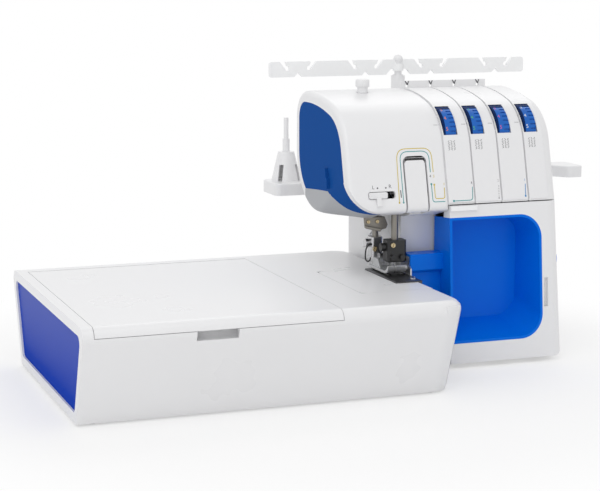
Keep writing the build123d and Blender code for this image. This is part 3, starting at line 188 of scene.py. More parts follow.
def moulded_plastic(name, colour, rough, shine, rise=None):
    """Gloss plastic with faint flow marks and a fine grain, whose shine may grow with height as a painted
    reflection, paler at the top.
    """
    material, tree, shader = shader_material(name)
    flow = noise_node(tree, *FLOW_MARKS)
    fine = noise_node(tree, *PLASTIC_GRAIN)
    uneven(tree, shader, flow, colour, 0.012, rough - 0.03, rough + 0.04)
    bump_node(tree, shader, fine, 0.015, 0.0002)
    gloss = shader.inputs["Specular IOR Level"]
    gloss.default_value = shine
    if rise:
        place = tree.nodes.new("ShaderNodeTexCoord")
        split = tree.nodes.new("ShaderNodeSeparateXYZ")
        tree.links.new(place.outputs["Object"], split.inputs["Vector"])
        tree.links.new(ramp_node(tree, split.outputs["Z"], *rise), gloss)
    return material


def worked_metal(name, colour, rough, metal=1.0, streak=(900.0, 40.0, 900.0)):
    """Ground metal with fine streaks along one way."""
    material, tree, shader = shader_material(name)
    place = tree.nodes.new("ShaderNodeTexCoord")
    stretch = tree.nodes.new("ShaderNodeMapping")
    stretch.inputs["Scale"].default_value = streak
    noise = tree.nodes.new("ShaderNodeTexNoise")
    noise.inputs["Scale"].default_value = 1.0
    noise.inputs["Detail"].default_value = 3.0
    tree.links.new(place.outputs["Object"], stretch.inputs["Vector"])
    tree.links.new(stretch.outputs["Vector"], noise.inputs["Vector"])
    uneven(tree, shader, noise.outputs["Fac"], colour, 0.14, rough - 0.08, rough + 0.12)
    bump_node(tree, shader, noise.outputs["Fac"], 0.05, 0.0001)
    shader.inputs["Metallic"].default_value = metal
    return material


def matte_rubber(name, colour, rough):
    """Dull rubber or textured plastic."""
    material, tree, shader = shader_material(name)
    fine = noise_node(tree, *RUBBER_GRAIN)
    wide = noise_node(tree, *RUBBER_CLOUDS)
    uneven(tree, shader, wide, colour, 0.18, rough - 0.08, rough + 0.1)
    bump_node(tree, shader, fine, 0.25, 0.0002)
    return material


def printed_ink(name, colour):
    """Screen-printed ink, very slightly uneven."""
    material, tree, shader = shader_material(name)
    uneven(tree, shader, noise_node(tree, *INK_GRAIN), colour, 0.06, 0.4, 0.5)
    return material


# Shine low and high on the table's end, and those heights in metres: a painted reflection that makes the panel
# paler towards its top
PANEL_PAINTED_SHEEN = (0.0005, 0.011, 0.02, 0.075)
# Material name, colour (or the setting that holds it) and the maker's other values
PLASTICS = {
    "white": ("white_gloss_plastic", "white", 0.28, 0.4),
    "blue": ("blue_gloss_plastic", "blue", 0.3, 0.1),
    "face_blue": ("face_cover_blue", "face_blue", 0.32, 0.005),
    # Table end: shine that grows with height, a painted reflection paler at the top
    "panel_blue": ("table_end_blue", "panel_blue", 0.18, 0.35, PANEL_PAINTED_SHEEN),
    # Dark blue that paints the shade in the gaps round the dials
    "gap_blue": ("dial_gap_blue", (0.004, 0.022, 0.1), 0.5, 0.05),
    "dial_blue": ("dial_gloss_blue", (0.012, 0.125, 0.5), 0.28, 0.25),
    "lens": ("frosted_lens", "lens", 0.4, 0.2),
    "clear": ("milky_plastic", (0.92, 0.925, 0.93), 0.3, 0.3),
}
METALS = {
    "steel": ("ground_steel", "steel", 0.3),
    "foot_steel": ("bright_foot_steel", (0.62, 0.63, 0.64), 0.3, 0.6),
    # Darker, browner steel than the rest, for the needle and presser bars and the thread guide under the head
    "bar_steel": ("aged_bar_steel", (0.27, 0.255, 0.23), 0.42),
    "dark_steel": ("dark_plate_steel", (0.08, 0.08, 0.085), 0.34),
    "brass": ("brass_screws", "brass", 0.25),
    "cast": ("cast_aluminium", (0.5, 0.5, 0.51), 0.5, 1.0, (300.0, 300.0, 300.0)),
}
RUBBERS = {
    "black": ("satin_black", (0.012, 0.012, 0.013), 0.38),
    "rubber": ("foot_rubber", (0.02, 0.02, 0.02), 0.75),
    "dark_plastic": ("dark_base_plastic", (0.025, 0.025, 0.027), 0.55),
}
INKS = {
    "yellow": ("yellow_ink", "yellow"),
    "teal": ("teal_ink", "teal"),
    # Grey for printed marks, also painting the shade in the thread guide's notches
    "ink": ("grey_ink", "ink"),
    "sky": ("sky_blue_ink", (0.05, 0.25, 0.55)),
    "orange": ("orange_ink", (0.75, 0.2, 0.04)),
    "green": ("green_ink", (0.08, 0.42, 0.12)),
    "pink": ("pink_ink", (0.6, 0.1, 0.32)),
    "pale_ink": ("pale_grey_ink", (0.45, 0.45, 0.46)),
    "white_ink": ("white_ink", (0.75, 0.78, 0.82)),
}
MAKERS = ((moulded_plastic, PLASTICS), (worked_metal, METALS), (matte_rubber, RUBBERS), (printed_ink, INKS))
FINISHES = {}


def finish(name):
    """A finish by name; all are made on first use."""
    if not FINISHES:
        for maker, table in MAKERS:
            for key, (label, colour, *rest) in table.items():
                if isinstance(colour, str):
                    colour = getattr(colours(), colour)
                FINISHES[key] = maker(label, colour, *rest)
    return FINISHES[name]


NODE_FINISHES = {
    "white": (
        "upper_front_cover", "rear_cover", "right_cover", "take_up_cover", "bed_cover", "front_cover",
        "spool_tray", "spool_pins", "spool_cones", "post_lower", "post_middle", "post_upper",
        "top_thread_guide", "pressure_knob", "needle_selector", "table_tub", "table_lid", "handwheel",
        "lifter_lever",
    ),
    "blue": ("front_cover_tray", "looper_guard", "stitch_dial", "feed_lever"),
    "dial_blue": ("tension_dial_1", "tension_dial_2", "tension_dial_3", "tension_dial_4"),
    "face_blue": ("face_cover",),
    "panel_blue": ("table_end_panel",),
    "lens": ("lamp_lens",),
    "clear": ("thread_bar", "thread_clip"),
    "steel": (
        "needles", "foot_holder", "lower_knife", "upper_knife", "upper_looper", "lower_looper", "feed_dogs",
        "take_up_lever", "main_shaft", "cover_hinge_rod", "lid_hinge_pin", "tension_posts", "motor_pulley",
    ),
    "foot_steel": ("presser_foot",),
    "bar_steel": ("needle_bar", "presser_bar"),
    "dark_steel": ("needle_plate",),
    "brass": ("shaft_bushes",),
    "cast": ("main_frame", "motor"),
    "black": ("needle_clamp",),
    "rubber": ("machine_feet", "table_feet", "drive_belt"),
    "dark_plastic": ("base_plate", "drive_pulley", "power_inlet", "power_switch"),
}


class OVERLOCK_OT_finishes(bpy.types.Operator):
    """Give every CAD node its finish."""

    bl_idname = "overlock.finishes"
    bl_label = "Finishes"

    def execute(self, context):
        for name, nodes in NODE_FINISHES.items():
            for node in nodes:
                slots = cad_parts[node].data.materials
                slots.clear()
                slots.append(finish(name))
        return {"FINISHED"}


# Building pieces
EDGE_ANGLE = radians(40)
TUBE_ACROSS = Vector((0.3, 1.0, 0.2))
SCREW_SIDES, SCREW_STEPS, SCREW_TURN = 24, 12, 0.5
# Shares of a screw's radius or height
SCREW_GAP, SCREW_SHELF, SCREW_TAPER, SCREW_DOME, SCREW_SOFT = 0.17, 0.45, 0.94, 1.08, 0.06


def add_piece(name, vertices, faces, finish_name, body, slot, smooth=False):
    """A mesh piece, set in place, that moves with a body."""
    mesh = bpy.data.meshes.new(name)
    mesh.from_pydata(vertices, [], faces)
    mesh.validate()
    mesh.materials.append(finish(finish_name))
    for face in mesh.polygons:
        face.use_smooth = smooth
    piece = bpy.data.objects.new(name, mesh)
    bpy.context.scene.collection.objects.link(piece)
    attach(piece, body)
    return piece


def smooth_piece(name, vertices, faces, finish_name, body, slot, angle=EDGE_ANGLE):
    """A piece that is smooth apart from its sharp edges."""
    piece = add_piece(name, vertices, faces, finish_name, body, slot, True)
    piece.data.set_sharp_from_angle(angle=angle)
    return piece


def soften(piece, width):
    """Round a piece's sharp edges."""
    bevel = piece.modifiers.new("soft_edges", "BEVEL")
    bevel.width = width * MM
    bevel.segments = 2
    bevel.limit_method = "ANGLE"
    bevel.angle_limit = EDGE_ANGLE


def merge(parts):
    """Several vertex and face lists as one."""
    vertices, faces = [], []
    for some_vertices, some_faces in parts:
        start = len(vertices)
        vertices += some_vertices
        faces += [tuple(start + i for i in face) for face in some_faces]
    return vertices, faces


def ring_faces(rings, size):
    """Faces of a solid through equal rings of vertices, closed at both ends."""
    faces = []
    last = (rings - 1) * size
    for start in range(0, last, size):
        for i in range(size):
            a, b = start + i, start + (i + 1) % size
            faces.append((a, b, b + size, a + size))
    return faces + [tuple(range(size - 1, -1, -1)), tuple(range(last, last + size))]


def shell_faces(rows, count):
    """Faces of a curved plate with an outer and an inner grid of vertices."""
    half = rows * count
    faces = []
    for row in range(rows - 1):
        for a in range(row * count, row * count + count - 1):
            faces.append((a, a + 1, a + count + 1, a + count))
            faces.append((half + a, half + a + count, half + a + count + 1, half + a + 1))
    rim = list(range(count)) + [row * count + count - 1 for row in range(1, rows)]
    rim += [half - 2 - i for i in range(count - 1)] + [row * count for row in range(rows - 2, 0, -1)]
    return faces + [(a, half + a, half + b, b) for a, b in zip(rim, rim[1:] + rim[:1])]


def plate_parts(outline, front, back):
    """Vertices and faces of a plate with a front view, between two Y values."""
    vertices = [Vector((x, y, z)) * MM for y in (front, back) for x, z in outline]
    return vertices, ring_faces(2, len(outline))


def side_parts(outline, left, right):
    """Vertices and faces of a plate with a side view, between two X values."""
    vertices = [Vector((x, y, z)) * MM for x in (left, right) for y, z in outline]
    return vertices, ring_faces(2, len(outline))


def tube(points, radius, sides=10):
    """Vertices and faces of a round wire along points."""
    vertices = []
    for i, point in enumerate(points):
        along = (points[min(i + 1, len(points) - 1)] - points[max(i - 1, 0)]).normalized()
        across = along.cross(TUBE_ACROSS).normalized()
        other = along.cross(across)
        for k in range(sides):
            turn = 2 * pi * k / sides
            vertices.append((point + (across * cos(turn) + other * sin(turn)) * radius) * MM)
    return vertices, ring_faces(len(points), sides)


def screw_head(name, place, axis, radius, height, finish_name, body, sectors=2):
    """A screw head with a driver slot, or a cross with four sectors."""
    up = Vector(axis).normalized()
    across = up.orthogonal().normalized()
    other = up.cross(across)
    gap = radius * SCREW_GAP
    shelf = height * SCREW_SHELF
    sides, steps = SCREW_SIDES, SCREW_STEPS

    def local(u, v, w):
        return Vector(place) * MM + (across * u + other * v + up * w) * MM

    rim = [(radius * cos(2 * pi * i / sides), radius * sin(2 * pi * i / sides)) for i in range(sides)]
    walls = [(i, (i + 1) % sides, sides + (i + 1) % sides, sides + i) for i in range(sides)]
    stock = [local(u, v, w) for w in (0.0, shelf) for u, v in rim]
    parts = [(stock, walls + [tuple(range(sides, 2 * sides))])]
    wedge = 2 * pi / sectors
    half = wedge / 2 - gap / radius
    for k in range(sectors):
        middle = SCREW_TURN + (k + 0.5) * wedge
        outline = []
        if sectors > 2:
            inset = gap / sin(wedge / 2)
            outline.append((inset * cos(middle), inset * sin(middle), SCREW_DOME))
        for i in range(steps + 1):
            turn = middle - half + 2 * half * i / steps
            outline.append((radius * cos(turn), radius * sin(turn), 1.0))
        count = len(outline)
        foot = [local(u, v, shelf) for u, v, lift in outline]
        crown = [local(u * SCREW_TAPER, v * SCREW_TAPER, height * lift) for u, v, lift in outline]
        walls = [(i, (i + 1) % count, count + (i + 1) % count, count + i) for i in range(count)]
        parts.append((foot + crown, walls + [tuple(range(count, 2 * count))]))
    soften(add_piece(name, *merge(parts), finish_name, body, "steel"), radius * SCREW_SOFT)


# Printed marks on the front
FRONT = ("upper_front_cover",)
LINE_WIDTH, LINE_STEP = 0.75, 2.0
# Font size for a letter of height one
FONT_SIZE = 1.4
DASH_X, DASH_Z, DASH_COUNT = 98.9, 166.6, 5
DASH_LEAN, DASH_PITCH, DASH_LENGTH, DASH_WIDTH = 0.18, 2.4, 1.6, 0.7
# Y in front of the machine, in metres
SEARCH_START = -0.4
SEARCH_TREES = {}


def search_tree(*nodes):
    """Faces of some CAD nodes, for laying marks on them."""
    if nodes not in SEARCH_TREES:
        vertices, faces = [], []
        for node in nodes:
            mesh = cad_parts[node].data
            start = len(vertices)
            vertices += [corner.co.copy() for corner in mesh.vertices]
            faces += [[start + i for i in face.vertices] for face in mesh.polygons]
        SEARCH_TREES[nodes] = BVHTree.FromPolygons(vertices, faces)
    return SEARCH_TREES[nodes]


def on_front(x, z, nodes=FRONT, lift=0.07):
    """The point of the nodes' front at X and Z, lifted a little, in metres."""
    start = Vector((x * MM, SEARCH_START, z * MM))
    place, normal = search_tree(*nodes).ray_cast(start, Vector((0, 1, 0)))[:2]
    if place is None:
        raise RuntimeError(f"no front at X {x:.1f}, Z {z:.1f}")
    if normal.y > 0:
        normal = -normal
    return place + normal * lift * MM


def rounded_path(corners, radius, steps=5):
    """Points of a flat line whose inner corners are rounded."""
    path = [Vector(corners[0])]
    for before, corner, after in zip(corners, corners[1:], corners[2:]):
        middle = Vector(corner)
        back = Vector(before) - middle
        ahead = Vector(after) - middle
        reach = min(radius, back.length * 0.49, ahead.length * 0.49)
        start = middle + back.normalized() * reach
        end = middle + ahead.normalized() * reach
        for i in range(steps + 1):
            t = i / steps
            path.append(start * (1 - t) ** 2 + middle * 2 * t * (1 - t) + end * t ** 2)
    path.append(Vector(corners[-1]))
    return path


def dense_path(path, step):
    """The same line with a point at least every step."""
    points = [Vector(path[0])]
    for start, end in zip(path, path[1:]):
        start, end = Vector(start), Vector(end)
        count = max(1, int((end - start).length / step))
        points += [start.lerp(end, (i + 1) / count) for i in range(count)]
    return points


def printed_line(path, width=LINE_WIDTH):
    """Vertices and faces of a printed line on the front."""
    points = dense_path(path, LINE_STEP)
    vertices = []
    for i, point in enumerate(points):
        along = points[min(i + 1, len(points) - 1)] - points[max(i - 1, 0)]
        side = Vector((-along.y, along.x)).normalized() * width / 2
        vertices += [on_front(*(point - side)), on_front(*(point + side))]
    faces = [(2 * i, 2 * i + 1, 2 * i + 3, 2 * i + 2) for i in range(len(points) - 1)]
    return vertices, faces


def printed_dot(x, z, radius, sides=14):
    """Vertices and faces of a printed dot on the front."""
    turns = [2 * pi * i / sides for i in range(sides)]
    rim = [on_front(x + radius * cos(t), z + radius * sin(t)) for t in turns]
    return rim, [tuple(range(sides))]


def flat_text(words, height):
    """Vertices and faces of flat lettering, middle at zero."""
    curve = bpy.data.curves.new("lettering", "FONT")
    curve.body = words
    curve.size = height * FONT_SIZE
    curve.align_x = "CENTER"
    curve.align_y = "CENTER"
    holder = bpy.data.objects.new("lettering", curve)
    mesh = bpy.data.meshes.new_from_object(holder)
    vertices = [corner.co.copy() for corner in mesh.vertices]
    faces = [tuple(face.vertices) for face in mesh.polygons]
    bpy.data.objects.remove(holder)
    bpy.data.curves.remove(curve)
    bpy.data.meshes.remove(mesh)
    return vertices, faces


def front_text(words, x, z, height):
    """Lettering laid on the front."""
    vertices, faces = flat_text(words, height)
    return [on_front(x + v.x, z + v.y) for v in vertices], faces


def mark_piece(name, finish_name, lines=(), dots=(), words=()):
    """Printed lines, dots and lettering that stay with the machine."""
    parts = [printed_line(*line) for line in lines]
    parts += [printed_dot(*dot) for dot in dots]
    parts += [front_text(*word) for word in words]
    add_piece(name, *merge(parts), finish_name, "machine", "white_plastic")


class OVERLOCK_OT_thread_lines(bpy.types.Operator):
    """Print the coloured thread paths round the take-up slot and on the panels."""

    bl_idname = "overlock.thread_lines"
    bl_label = "Thread path lines"

    def execute(self, context):
        outer = [(-6.5, 166.0), (-5.2, 216.0), (31.0, 216.0), (31.5, 193.0)]
        inner = [(-2.2, 166.0), (-2.0, 213.3), (28.2, 213.3), (28.5, 193.0)]
        hook_low = [(28.4, 181.4), (28.6, 164.9), (41.5, 164.9)]
        hook_high = [(31.4, 180.8), (31.4, 167.9), (41.4, 167.9), (41.7, 178.0)]
        first_panel = [(71.1, 177.6), (70.4, 165.0), (50.2, 165.0)]
        last_panel = [(128.6, 178.0), (127.9, 166.3)]
        mark_piece(
            "thread_line_yellow", "yellow",
            [(rounded_path(outer, 9.5, 9),), (rounded_path(hook_high, 2.0),)],
            [(-6.5, 165.8, 0.9), (31.4, 181.1, 1.0)],
            [("3", 31.6, 189.0, 2.6), ("3", 41.6, 181.2, 2.2)],
        )
        mark_piece(
            "thread_line_teal", "teal",
            [(rounded_path(inner, 8.0, 9),), (rounded_path(hook_low, 2.5),), (rounded_path(first_panel, 3.0),)],
            [(-2.2, 165.8, 0.9), (28.4, 181.8, 1.0), (50.2, 165.0, 1.1)],
        )
        mark_piece(
            "thread_line_blue", "sky", [(last_panel,)], [(127.9, 166.3, 1.0)], [("1", 128.4, 181.6, 2.6)]
        )
        dashes = []
        for row in range(DASH_COUNT):
            x, low = DASH_X + DASH_LEAN * row, DASH_Z + DASH_PITCH * row
            dashes.append(([(x, low), (x, low + DASH_LENGTH)], DASH_WIDTH))
        mark_piece("thread_line_grey", "pale_ink", dashes, [(DASH_X, 165.6, 0.9)], [("2", 99.4, 182.1, 2.4)])
        return {"FINISHED"}


# Tension dials
DIAL_FIRST, DIAL_PITCH, DIAL_COUNT = 46.9, 29.0, 4
DIAL_LEFTS = [DIAL_FIRST + DIAL_PITCH * dial for dial in range(DIAL_COUNT)]
DIAL_WIDTH, DIAL_RADIUS = 13.2, 26.5
DIAL_Y, DIAL_Z = 16.3, 226.1
DIAL_INKS = ("orange", "green", "pink", "white_ink")
NUMBER_HEIGHT, NUMBER_STEP, NUMBER_MIDDLE = 3.8, radians(25.0), radians(40.0)
NUMBER_LANE, NUMBER_REACH = DIAL_WIDTH * 0.27, DIAL_RADIUS + 0.06
SIGN_LEFT, SIGN_TOP, SIGN_COLUMN, SIGN_ROW = 3.4, 221.2, 2.9, 2.4
SIGN_SWING, SIGN_RISE, SIGN_WIDTH = 0.8, 1.0, 0.45
TICK_START, TICK_END, TICK_WIDTH = (-9.2, 237.0), (-2.2, 236.8), 0.5


def on_dial(x, reach, turn):
    """Point at a distance from the dials' axis, turned up from the front."""
    return Vector((x, DIAL_Y - reach * cos(turn), DIAL_Z + reach * sin(turn))) * MM


class OVERLOCK_OT_front_marks(bpy.types.Operator):
    """Print the small numbers, the stitch signs and the selector's letters."""

    bl_idname = "overlock.front_marks"
    bl_label = "Front marks"

    def execute(self, context):
        mark_piece(
            "front_numbers", "ink",
            [([(-4.3, 177.6), (-4.1, 170.5)], 0.9)],
            [(-28.0, 180.4, 0.8), (-19.4, 180.4, 0.8)],
            [("4", 28.0, 189.2, 2.6), ("4", 70.6, 181.3, 2.6), ("L", -32.4, 181.2, 3.4), ("R", -15.0, 181.4, 3.4)],
        )
        signs = []
        for left in DIAL_LEFTS:
            for column in range(3):
                for row in range(4):
                    x, z = left + SIGN_LEFT + SIGN_COLUMN * column, SIGN_TOP - SIGN_ROW * row
                    swing = SIGN_SWING if (row + column) % 2 else -SIGN_SWING
                    zigzag = [(x - swing, z - SIGN_RISE), (x + swing, z), (x - swing, z + SIGN_RISE)]
                    signs.append((zigzag, SIGN_WIDTH))
        mark_piece("stitch_signs", "ink", signs)
        ticks = []
        for left in DIAL_LEFTS:
            ticks.append(([(left + x, z) for x, z in (TICK_START, TICK_END)], TICK_WIDTH))
        mark_piece("dial_index_marks", "pale_ink", ticks)
        return {"FINISHED"}


class OVERLOCK_OT_dial_scales(bpy.types.Operator):
    """Wrap numbers from 0 to 9 round the tension dials."""

    bl_idname = "overlock.dial_scales"
    bl_label = "Dial scales"

    def execute(self, context):
        reach = NUMBER_REACH
        for dial, (left, ink) in enumerate(zip(DIAL_LEFTS, DIAL_INKS), 1):
            lane = left + NUMBER_LANE
            parts = []
            for number in range(10):
                vertices, faces = flat_text(str(number), NUMBER_HEIGHT)
                middle = NUMBER_MIDDLE + NUMBER_STEP * (4 - number)
                parts.append(([on_dial(lane + v.x, reach, middle + v.y / reach) for v in vertices], faces))
            add_piece(f"dial_scale_{dial}", *merge(parts), ink, f"dial_{dial}", "blue_plastic")
        return {"FINISHED"}


# Fittings on top of the head, with dark sheets and grey marks as painted shade in the gaps and notches
# Dark sheets along the left edge and across the top of each dial window, painted shade in the gaps round the dials
GAP_LOW, GAP_HIGH = DIAL_RADIUS + 0.12, DIAL_RADIUS + 0.4
GAP_SIDE, GAP_CLEAR, GAP_WIDTH, GAP_DEPTH, GAP_LAP = 0.3, 0.05, 1.5, 4.0, 0.1
GAP_TURNS, GAP_TOP_TURNS = (0.0, 82.0), (69.0, 84.0)
# Black sheet on the take-up cover that paints the shade in the gap above it
SLOT_LEFT, SLOT_RIGHT, SLOT_TOP, SLOT_CORNER, SLOT_GAP = 2.35, 23.35, 207.15, 3.0, 2.2
SLOT_COLUMNS = 28
KNOB_X, KNOB_Y = -8.0, 66.0
# Height, radius and depth of the ribs
KNOB_ROWS = (
    (240.2, 5.35, 0.0), (270.2, 5.35, 0.0), (270.2, 6.3, 0.0), (270.9, 6.8, 0.18), (276.8, 6.8, 0.18),
    (277.6, 6.3, 0.0), (278.0, 5.2, 0.0),
)
KNOB_RIBS, KNOB_SIDES = 20, 120
# Grey V marks on the top thread guide's face, painted shade in its notches
GUIDE_FACE, GUIDE_TOP = 90.0, 273.0
HOOK_FRONT, HOOK_BACK = GUIDE_FACE - 0.5, GUIDE_FACE - 0.05
GUIDE_FIRST, GUIDE_PITCH, GUIDE_COUNT = 51.0, 26.4, 4
GUIDE_HOOK = ((-2.8, 0.1), (-1.6, 0.1), (0.0, -2.7), (1.2, 0.1), (1.9, 0.1), (0.45, -4.2), (-0.45, -4.2))


def arc_band(left, right, inner, outer, turns, steps=14):
    """Vertices and faces of a band round the dials' axis, between two turns in degrees."""
    first, last = turns
    vertices = []
    for i in range(steps + 1):
        turn = radians(first + (last - first) * i / steps)
        for x, reach in ((left, inner), (left, outer), (right, outer), (right, inner)):
            vertices.append(on_dial(x, reach, turn))
    return vertices, ring_faces(steps + 1, 4)


def take_up_gap():
    """Vertices and faces of a black sheet that paints the shade of the gap above the take-up cover, rounded at its
    lower corners.
    """
    vertices = []
    for i in range(SLOT_COLUMNS + 1):
        x = SLOT_LEFT + (SLOT_RIGHT - SLOT_LEFT) * i / SLOT_COLUMNS
        past = max(0.0, SLOT_CORNER - min(x - SLOT_LEFT, SLOT_RIGHT - x))
        drop = SLOT_CORNER - (SLOT_CORNER ** 2 - past ** 2) ** 0.5
        vertices += [on_front(x, z, ("take_up_cover",)) for z in (SLOT_TOP - SLOT_GAP - drop, SLOT_TOP)]
    return vertices, [(2 * i, 2 * i + 2, 2 * i + 3, 2 * i + 1) for i in range(SLOT_COLUMNS)]


def ribbed_knob():
    """Vertices and faces of a knob with a ribbed cap on a narrow stem."""
    vertices = []
    for z, radius, rib in KNOB_ROWS:
        for i in range(KNOB_SIDES):
            turn = 2 * pi * i / KNOB_SIDES
            reach = radius + rib * cos(KNOB_RIBS * turn)
            vertices.append(Vector((KNOB_X + reach * cos(turn), KNOB_Y + reach * sin(turn), z)) * MM)
    return vertices, ring_faces(len(KNOB_ROWS), KNOB_SIDES)


class OVERLOCK_OT_top_fittings(bpy.types.Operator):
    """Paint shade into the gaps of dials and take-up with dark sheets and into the guide's notches with grey marks,
    and turn a knob with a narrow stem.
    """

    bl_idname = "overlock.top_fittings"
    bl_label = "Knob, notches and dark gaps"

    def execute(self, context):
        for dial, left in enumerate(DIAL_LEFTS, 1):
            edge, inside = left - GAP_SIDE, left + GAP_WIDTH
            bands = [
                arc_band(edge, left - GAP_CLEAR, DIAL_RADIUS - GAP_DEPTH, GAP_LOW + GAP_LAP, GAP_TURNS),
                arc_band(edge, inside, GAP_LOW, GAP_HIGH, GAP_TURNS),
                arc_band(inside - GAP_LAP, left + DIAL_WIDTH, GAP_LOW, GAP_HIGH, GAP_TOP_TURNS, 4),
            ]
            # Painted shade: a dark sheet in the gap at each dial window
            add_piece(f"dial_gap_{dial}", *merge(bands), "gap_blue", "machine", "blue_plastic")
        notch_shades = []
        for hook in range(GUIDE_COUNT):
            middle = GUIDE_FIRST + hook * GUIDE_PITCH
            outline = [(middle + x, GUIDE_TOP + z) for x, z in GUIDE_HOOK]
            notch_shades.append(plate_parts(outline, HOOK_FRONT, HOOK_BACK))
        # Painted shade: grey V marks in the guide's notches
        add_piece("guide_notch_hooks", *merge(notch_shades), "ink", "machine", "white_plastic")
        # A black sheet as painted shade in the gap above the take-up cover
        add_piece("take_up_gap", *take_up_gap(), "black", "machine", "white_plastic")
        knob = smooth_piece("foot_pressure_knob", *ribbed_knob(), "white", "pressure", "white_plastic")
        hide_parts("pressure_knob")
        return {"FINISHED"}


# Rounded jaw of the head, below the face cover
HEAD_LEFT, HEAD_UNDER = -57.5, 147.0
CHIN_FRONT, CHIN_MIDDLE, CHIN_BACK = 0.6, 6.0, 11.6
CHIN_SLOPE, CHIN_CURVE = 0.2836, 80.0
JAW_FRONT, JAW_END = -45.0, 62.0
JAW_STATIONS = (
    JAW_FRONT, -30.0, -15.0, CHIN_FRONT, 3.0, CHIN_MIDDLE, 9.0, CHIN_BACK, 18.0, 26.0, 34.0, 42.0, 50.0, 57.0,
    JAW_END,
)
JAW_RADIUS, RIM_RADIUS = 34.0, 5.0
JAW_SKIN, JAW_INSET = 2.5, 0.06
LENS_FRONT = 26.0
RIM_LEAST, BAND_LEAST = 1.5, 0.8
SEAM_FOOT, SEAM_LEAN, SEAM_REACH = 169.0, 2.4, 400.0
QUARTER_TURN = [radians(7.5 * i) for i in range(13)]
# Turn in degrees and the Y value of the edge there
RIM_EDGE = ((0, -9.0), (20, -14.5), (45, -19.0), (70, -20.8), (90, -21.4))
LENS_EDGE = ((0, LENS_FRONT), (8, 23.5), (29, 13.0), (48, 2.0), (70, -13.0), (90, -20.6))
CUT_ANGLE = radians(24)


def under_head(y):
    """Height of the head's underside at its left end."""
    if y > CHIN_BACK:
        return HEAD_UNDER
    if y > CHIN_FRONT:
        return HEAD_UNDER + (CHIN_BACK - y) ** 2 / CHIN_CURVE
    return HEAD_UNDER + (CHIN_MIDDLE - y) * CHIN_SLOPE


def jaw_radius(y):
    """Radius between the left end and the underside, large in front and small further back."""
    t = min(1.0, max(0.0, y / JAW_END))
    return RIM_RADIUS + (JAW_RADIUS - RIM_RADIUS) * (1 - t * t * (3 - 2 * t))


def jaw_point(y, turn, inset=0.0):
    """Point of the jaw at Y, turned from the left end to the underside."""
    radius = jaw_radius(y)
    reach = radius - inset
    return Vector((HEAD_LEFT + radius - reach * cos(turn), y, under_head(y) + radius - reach * sin(turn))) * MM


def between(table, turn):
    """Value at a turn from a short table of degrees and values."""
    angle = degrees(turn)
    for (low, first), (high, second) in zip(table, table[1:]):
        if angle <= high + 0.01:
            return first + (second - first) * (angle - low) / (high - low)
    return table[-1][1]


def jaw_front(turn):
    """Y where the jaw meets the front of the head, found in a few steps."""
    y = -20.0
    for _ in range(6):
        place = jaw_point(y, turn, 0.3) / MM
        y = on_front(place.x, place.z, lift=0.0).y / MM
    return y


def jaw_skin(name, starts, ends, finish_name, slot, columns):
    """A strip of the jaw between two Y values for each row."""
    vertices = []
    for inset in (0.0, JAW_SKIN):
        for turn, start, end in zip(QUARTER_TURN, starts, ends):
            for i in range(columns + 1):
                vertices.append(jaw_point(start + (end - start) * i / columns, turn, inset))
    smooth_piece(name, vertices, shell_faces(len(QUARTER_TURN), columns + 1), finish_name, "machine", slot)


def cutter_object(name, vertices, faces):
    """A closed solid to cut with."""
    mesh = bpy.data.meshes.new(name)
    mesh.from_pydata(vertices, [], faces)
    work = bmesh.new()
    work.from_mesh(mesh)
    bmesh.ops.recalc_face_normals(work, faces=work.faces)
    work.to_mesh(mesh)
    work.free()
    cutter = bpy.data.objects.new(name, mesh)
    bpy.context.scene.collection.objects.link(cutter)
    return cutter


def jaw_cutter():
    """Solid that fills the corner outside the jaw."""
    vertices = []
    far = (HEAD_LEFT - 8.0) * MM
    for y in JAW_STATIONS:
        ring = [jaw_point(y, turn, JAW_INSET) for turn in QUARTER_TURN]
        low = (under_head(y) - 6.0) * MM
        corners = ((ring[-1].x, low), (far, low), (far, ring[0].z))
        vertices += ring + [Vector((x, y * MM, z)) for x, z in corners]
    rings = len(JAW_STATIONS)
    return cutter_object("jaw_cutter", vertices, ring_faces(rings, len(vertices) // rings))


def seam_cutter(end):
    """Block across the head, from one end to the leaning seam between face cover and lens."""
    low, high = 120.0, 300.0
    left, right = -90.0, 60.0
    seam = [(LENS_FRONT + SEAM_LEAN * (z - SEAM_FOOT), z) for z in (low, high)]
    return cutter_object("seam_cutter", *side_parts([(end, low), *seam, (end, high)], left, right))


def cut_copy(name, node, cutters, finish_name, slot):
    """A copy of a CAD node without what lies inside the cutters."""
    work = bmesh.new()
    work.from_mesh(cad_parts[node].data)
    bmesh.ops.remove_doubles(work, verts=work.verts, dist=1e-6)
    mesh = bpy.data.meshes.new(name)
    work.to_mesh(mesh)
    work.free()
    whole = bpy.data.objects.new(name + "_whole", mesh)
    bpy.context.scene.collection.objects.link(whole)
    for cutter in cutters:
        cut = whole.modifiers.new("cut", "BOOLEAN")
        cut.operation = "DIFFERENCE"
        cut.solver = "EXACT"
        cut.object = cutter
    bpy.context.view_layer.update()
    done = bpy.data.meshes.new_from_object(whole.evaluated_get(bpy.context.evaluated_depsgraph_get()))
    vertices = [corner.co.copy() for corner in done.vertices]
    faces = [tuple(face.vertices) for face in done.polygons]
    bpy.data.objects.remove(whole)
    bpy.data.meshes.remove(mesh)
    bpy.data.meshes.remove(done)
    if len(faces) < 6:
        raise RuntimeError(f"{node} was lost in the cut")
    piece = smooth_piece(name, vertices, faces, finish_name, "machine", slot, CUT_ANGLE)
    piece.modifiers.new("even_normals", "WEIGHTED_NORMAL").keep_sharp = True
    return piece


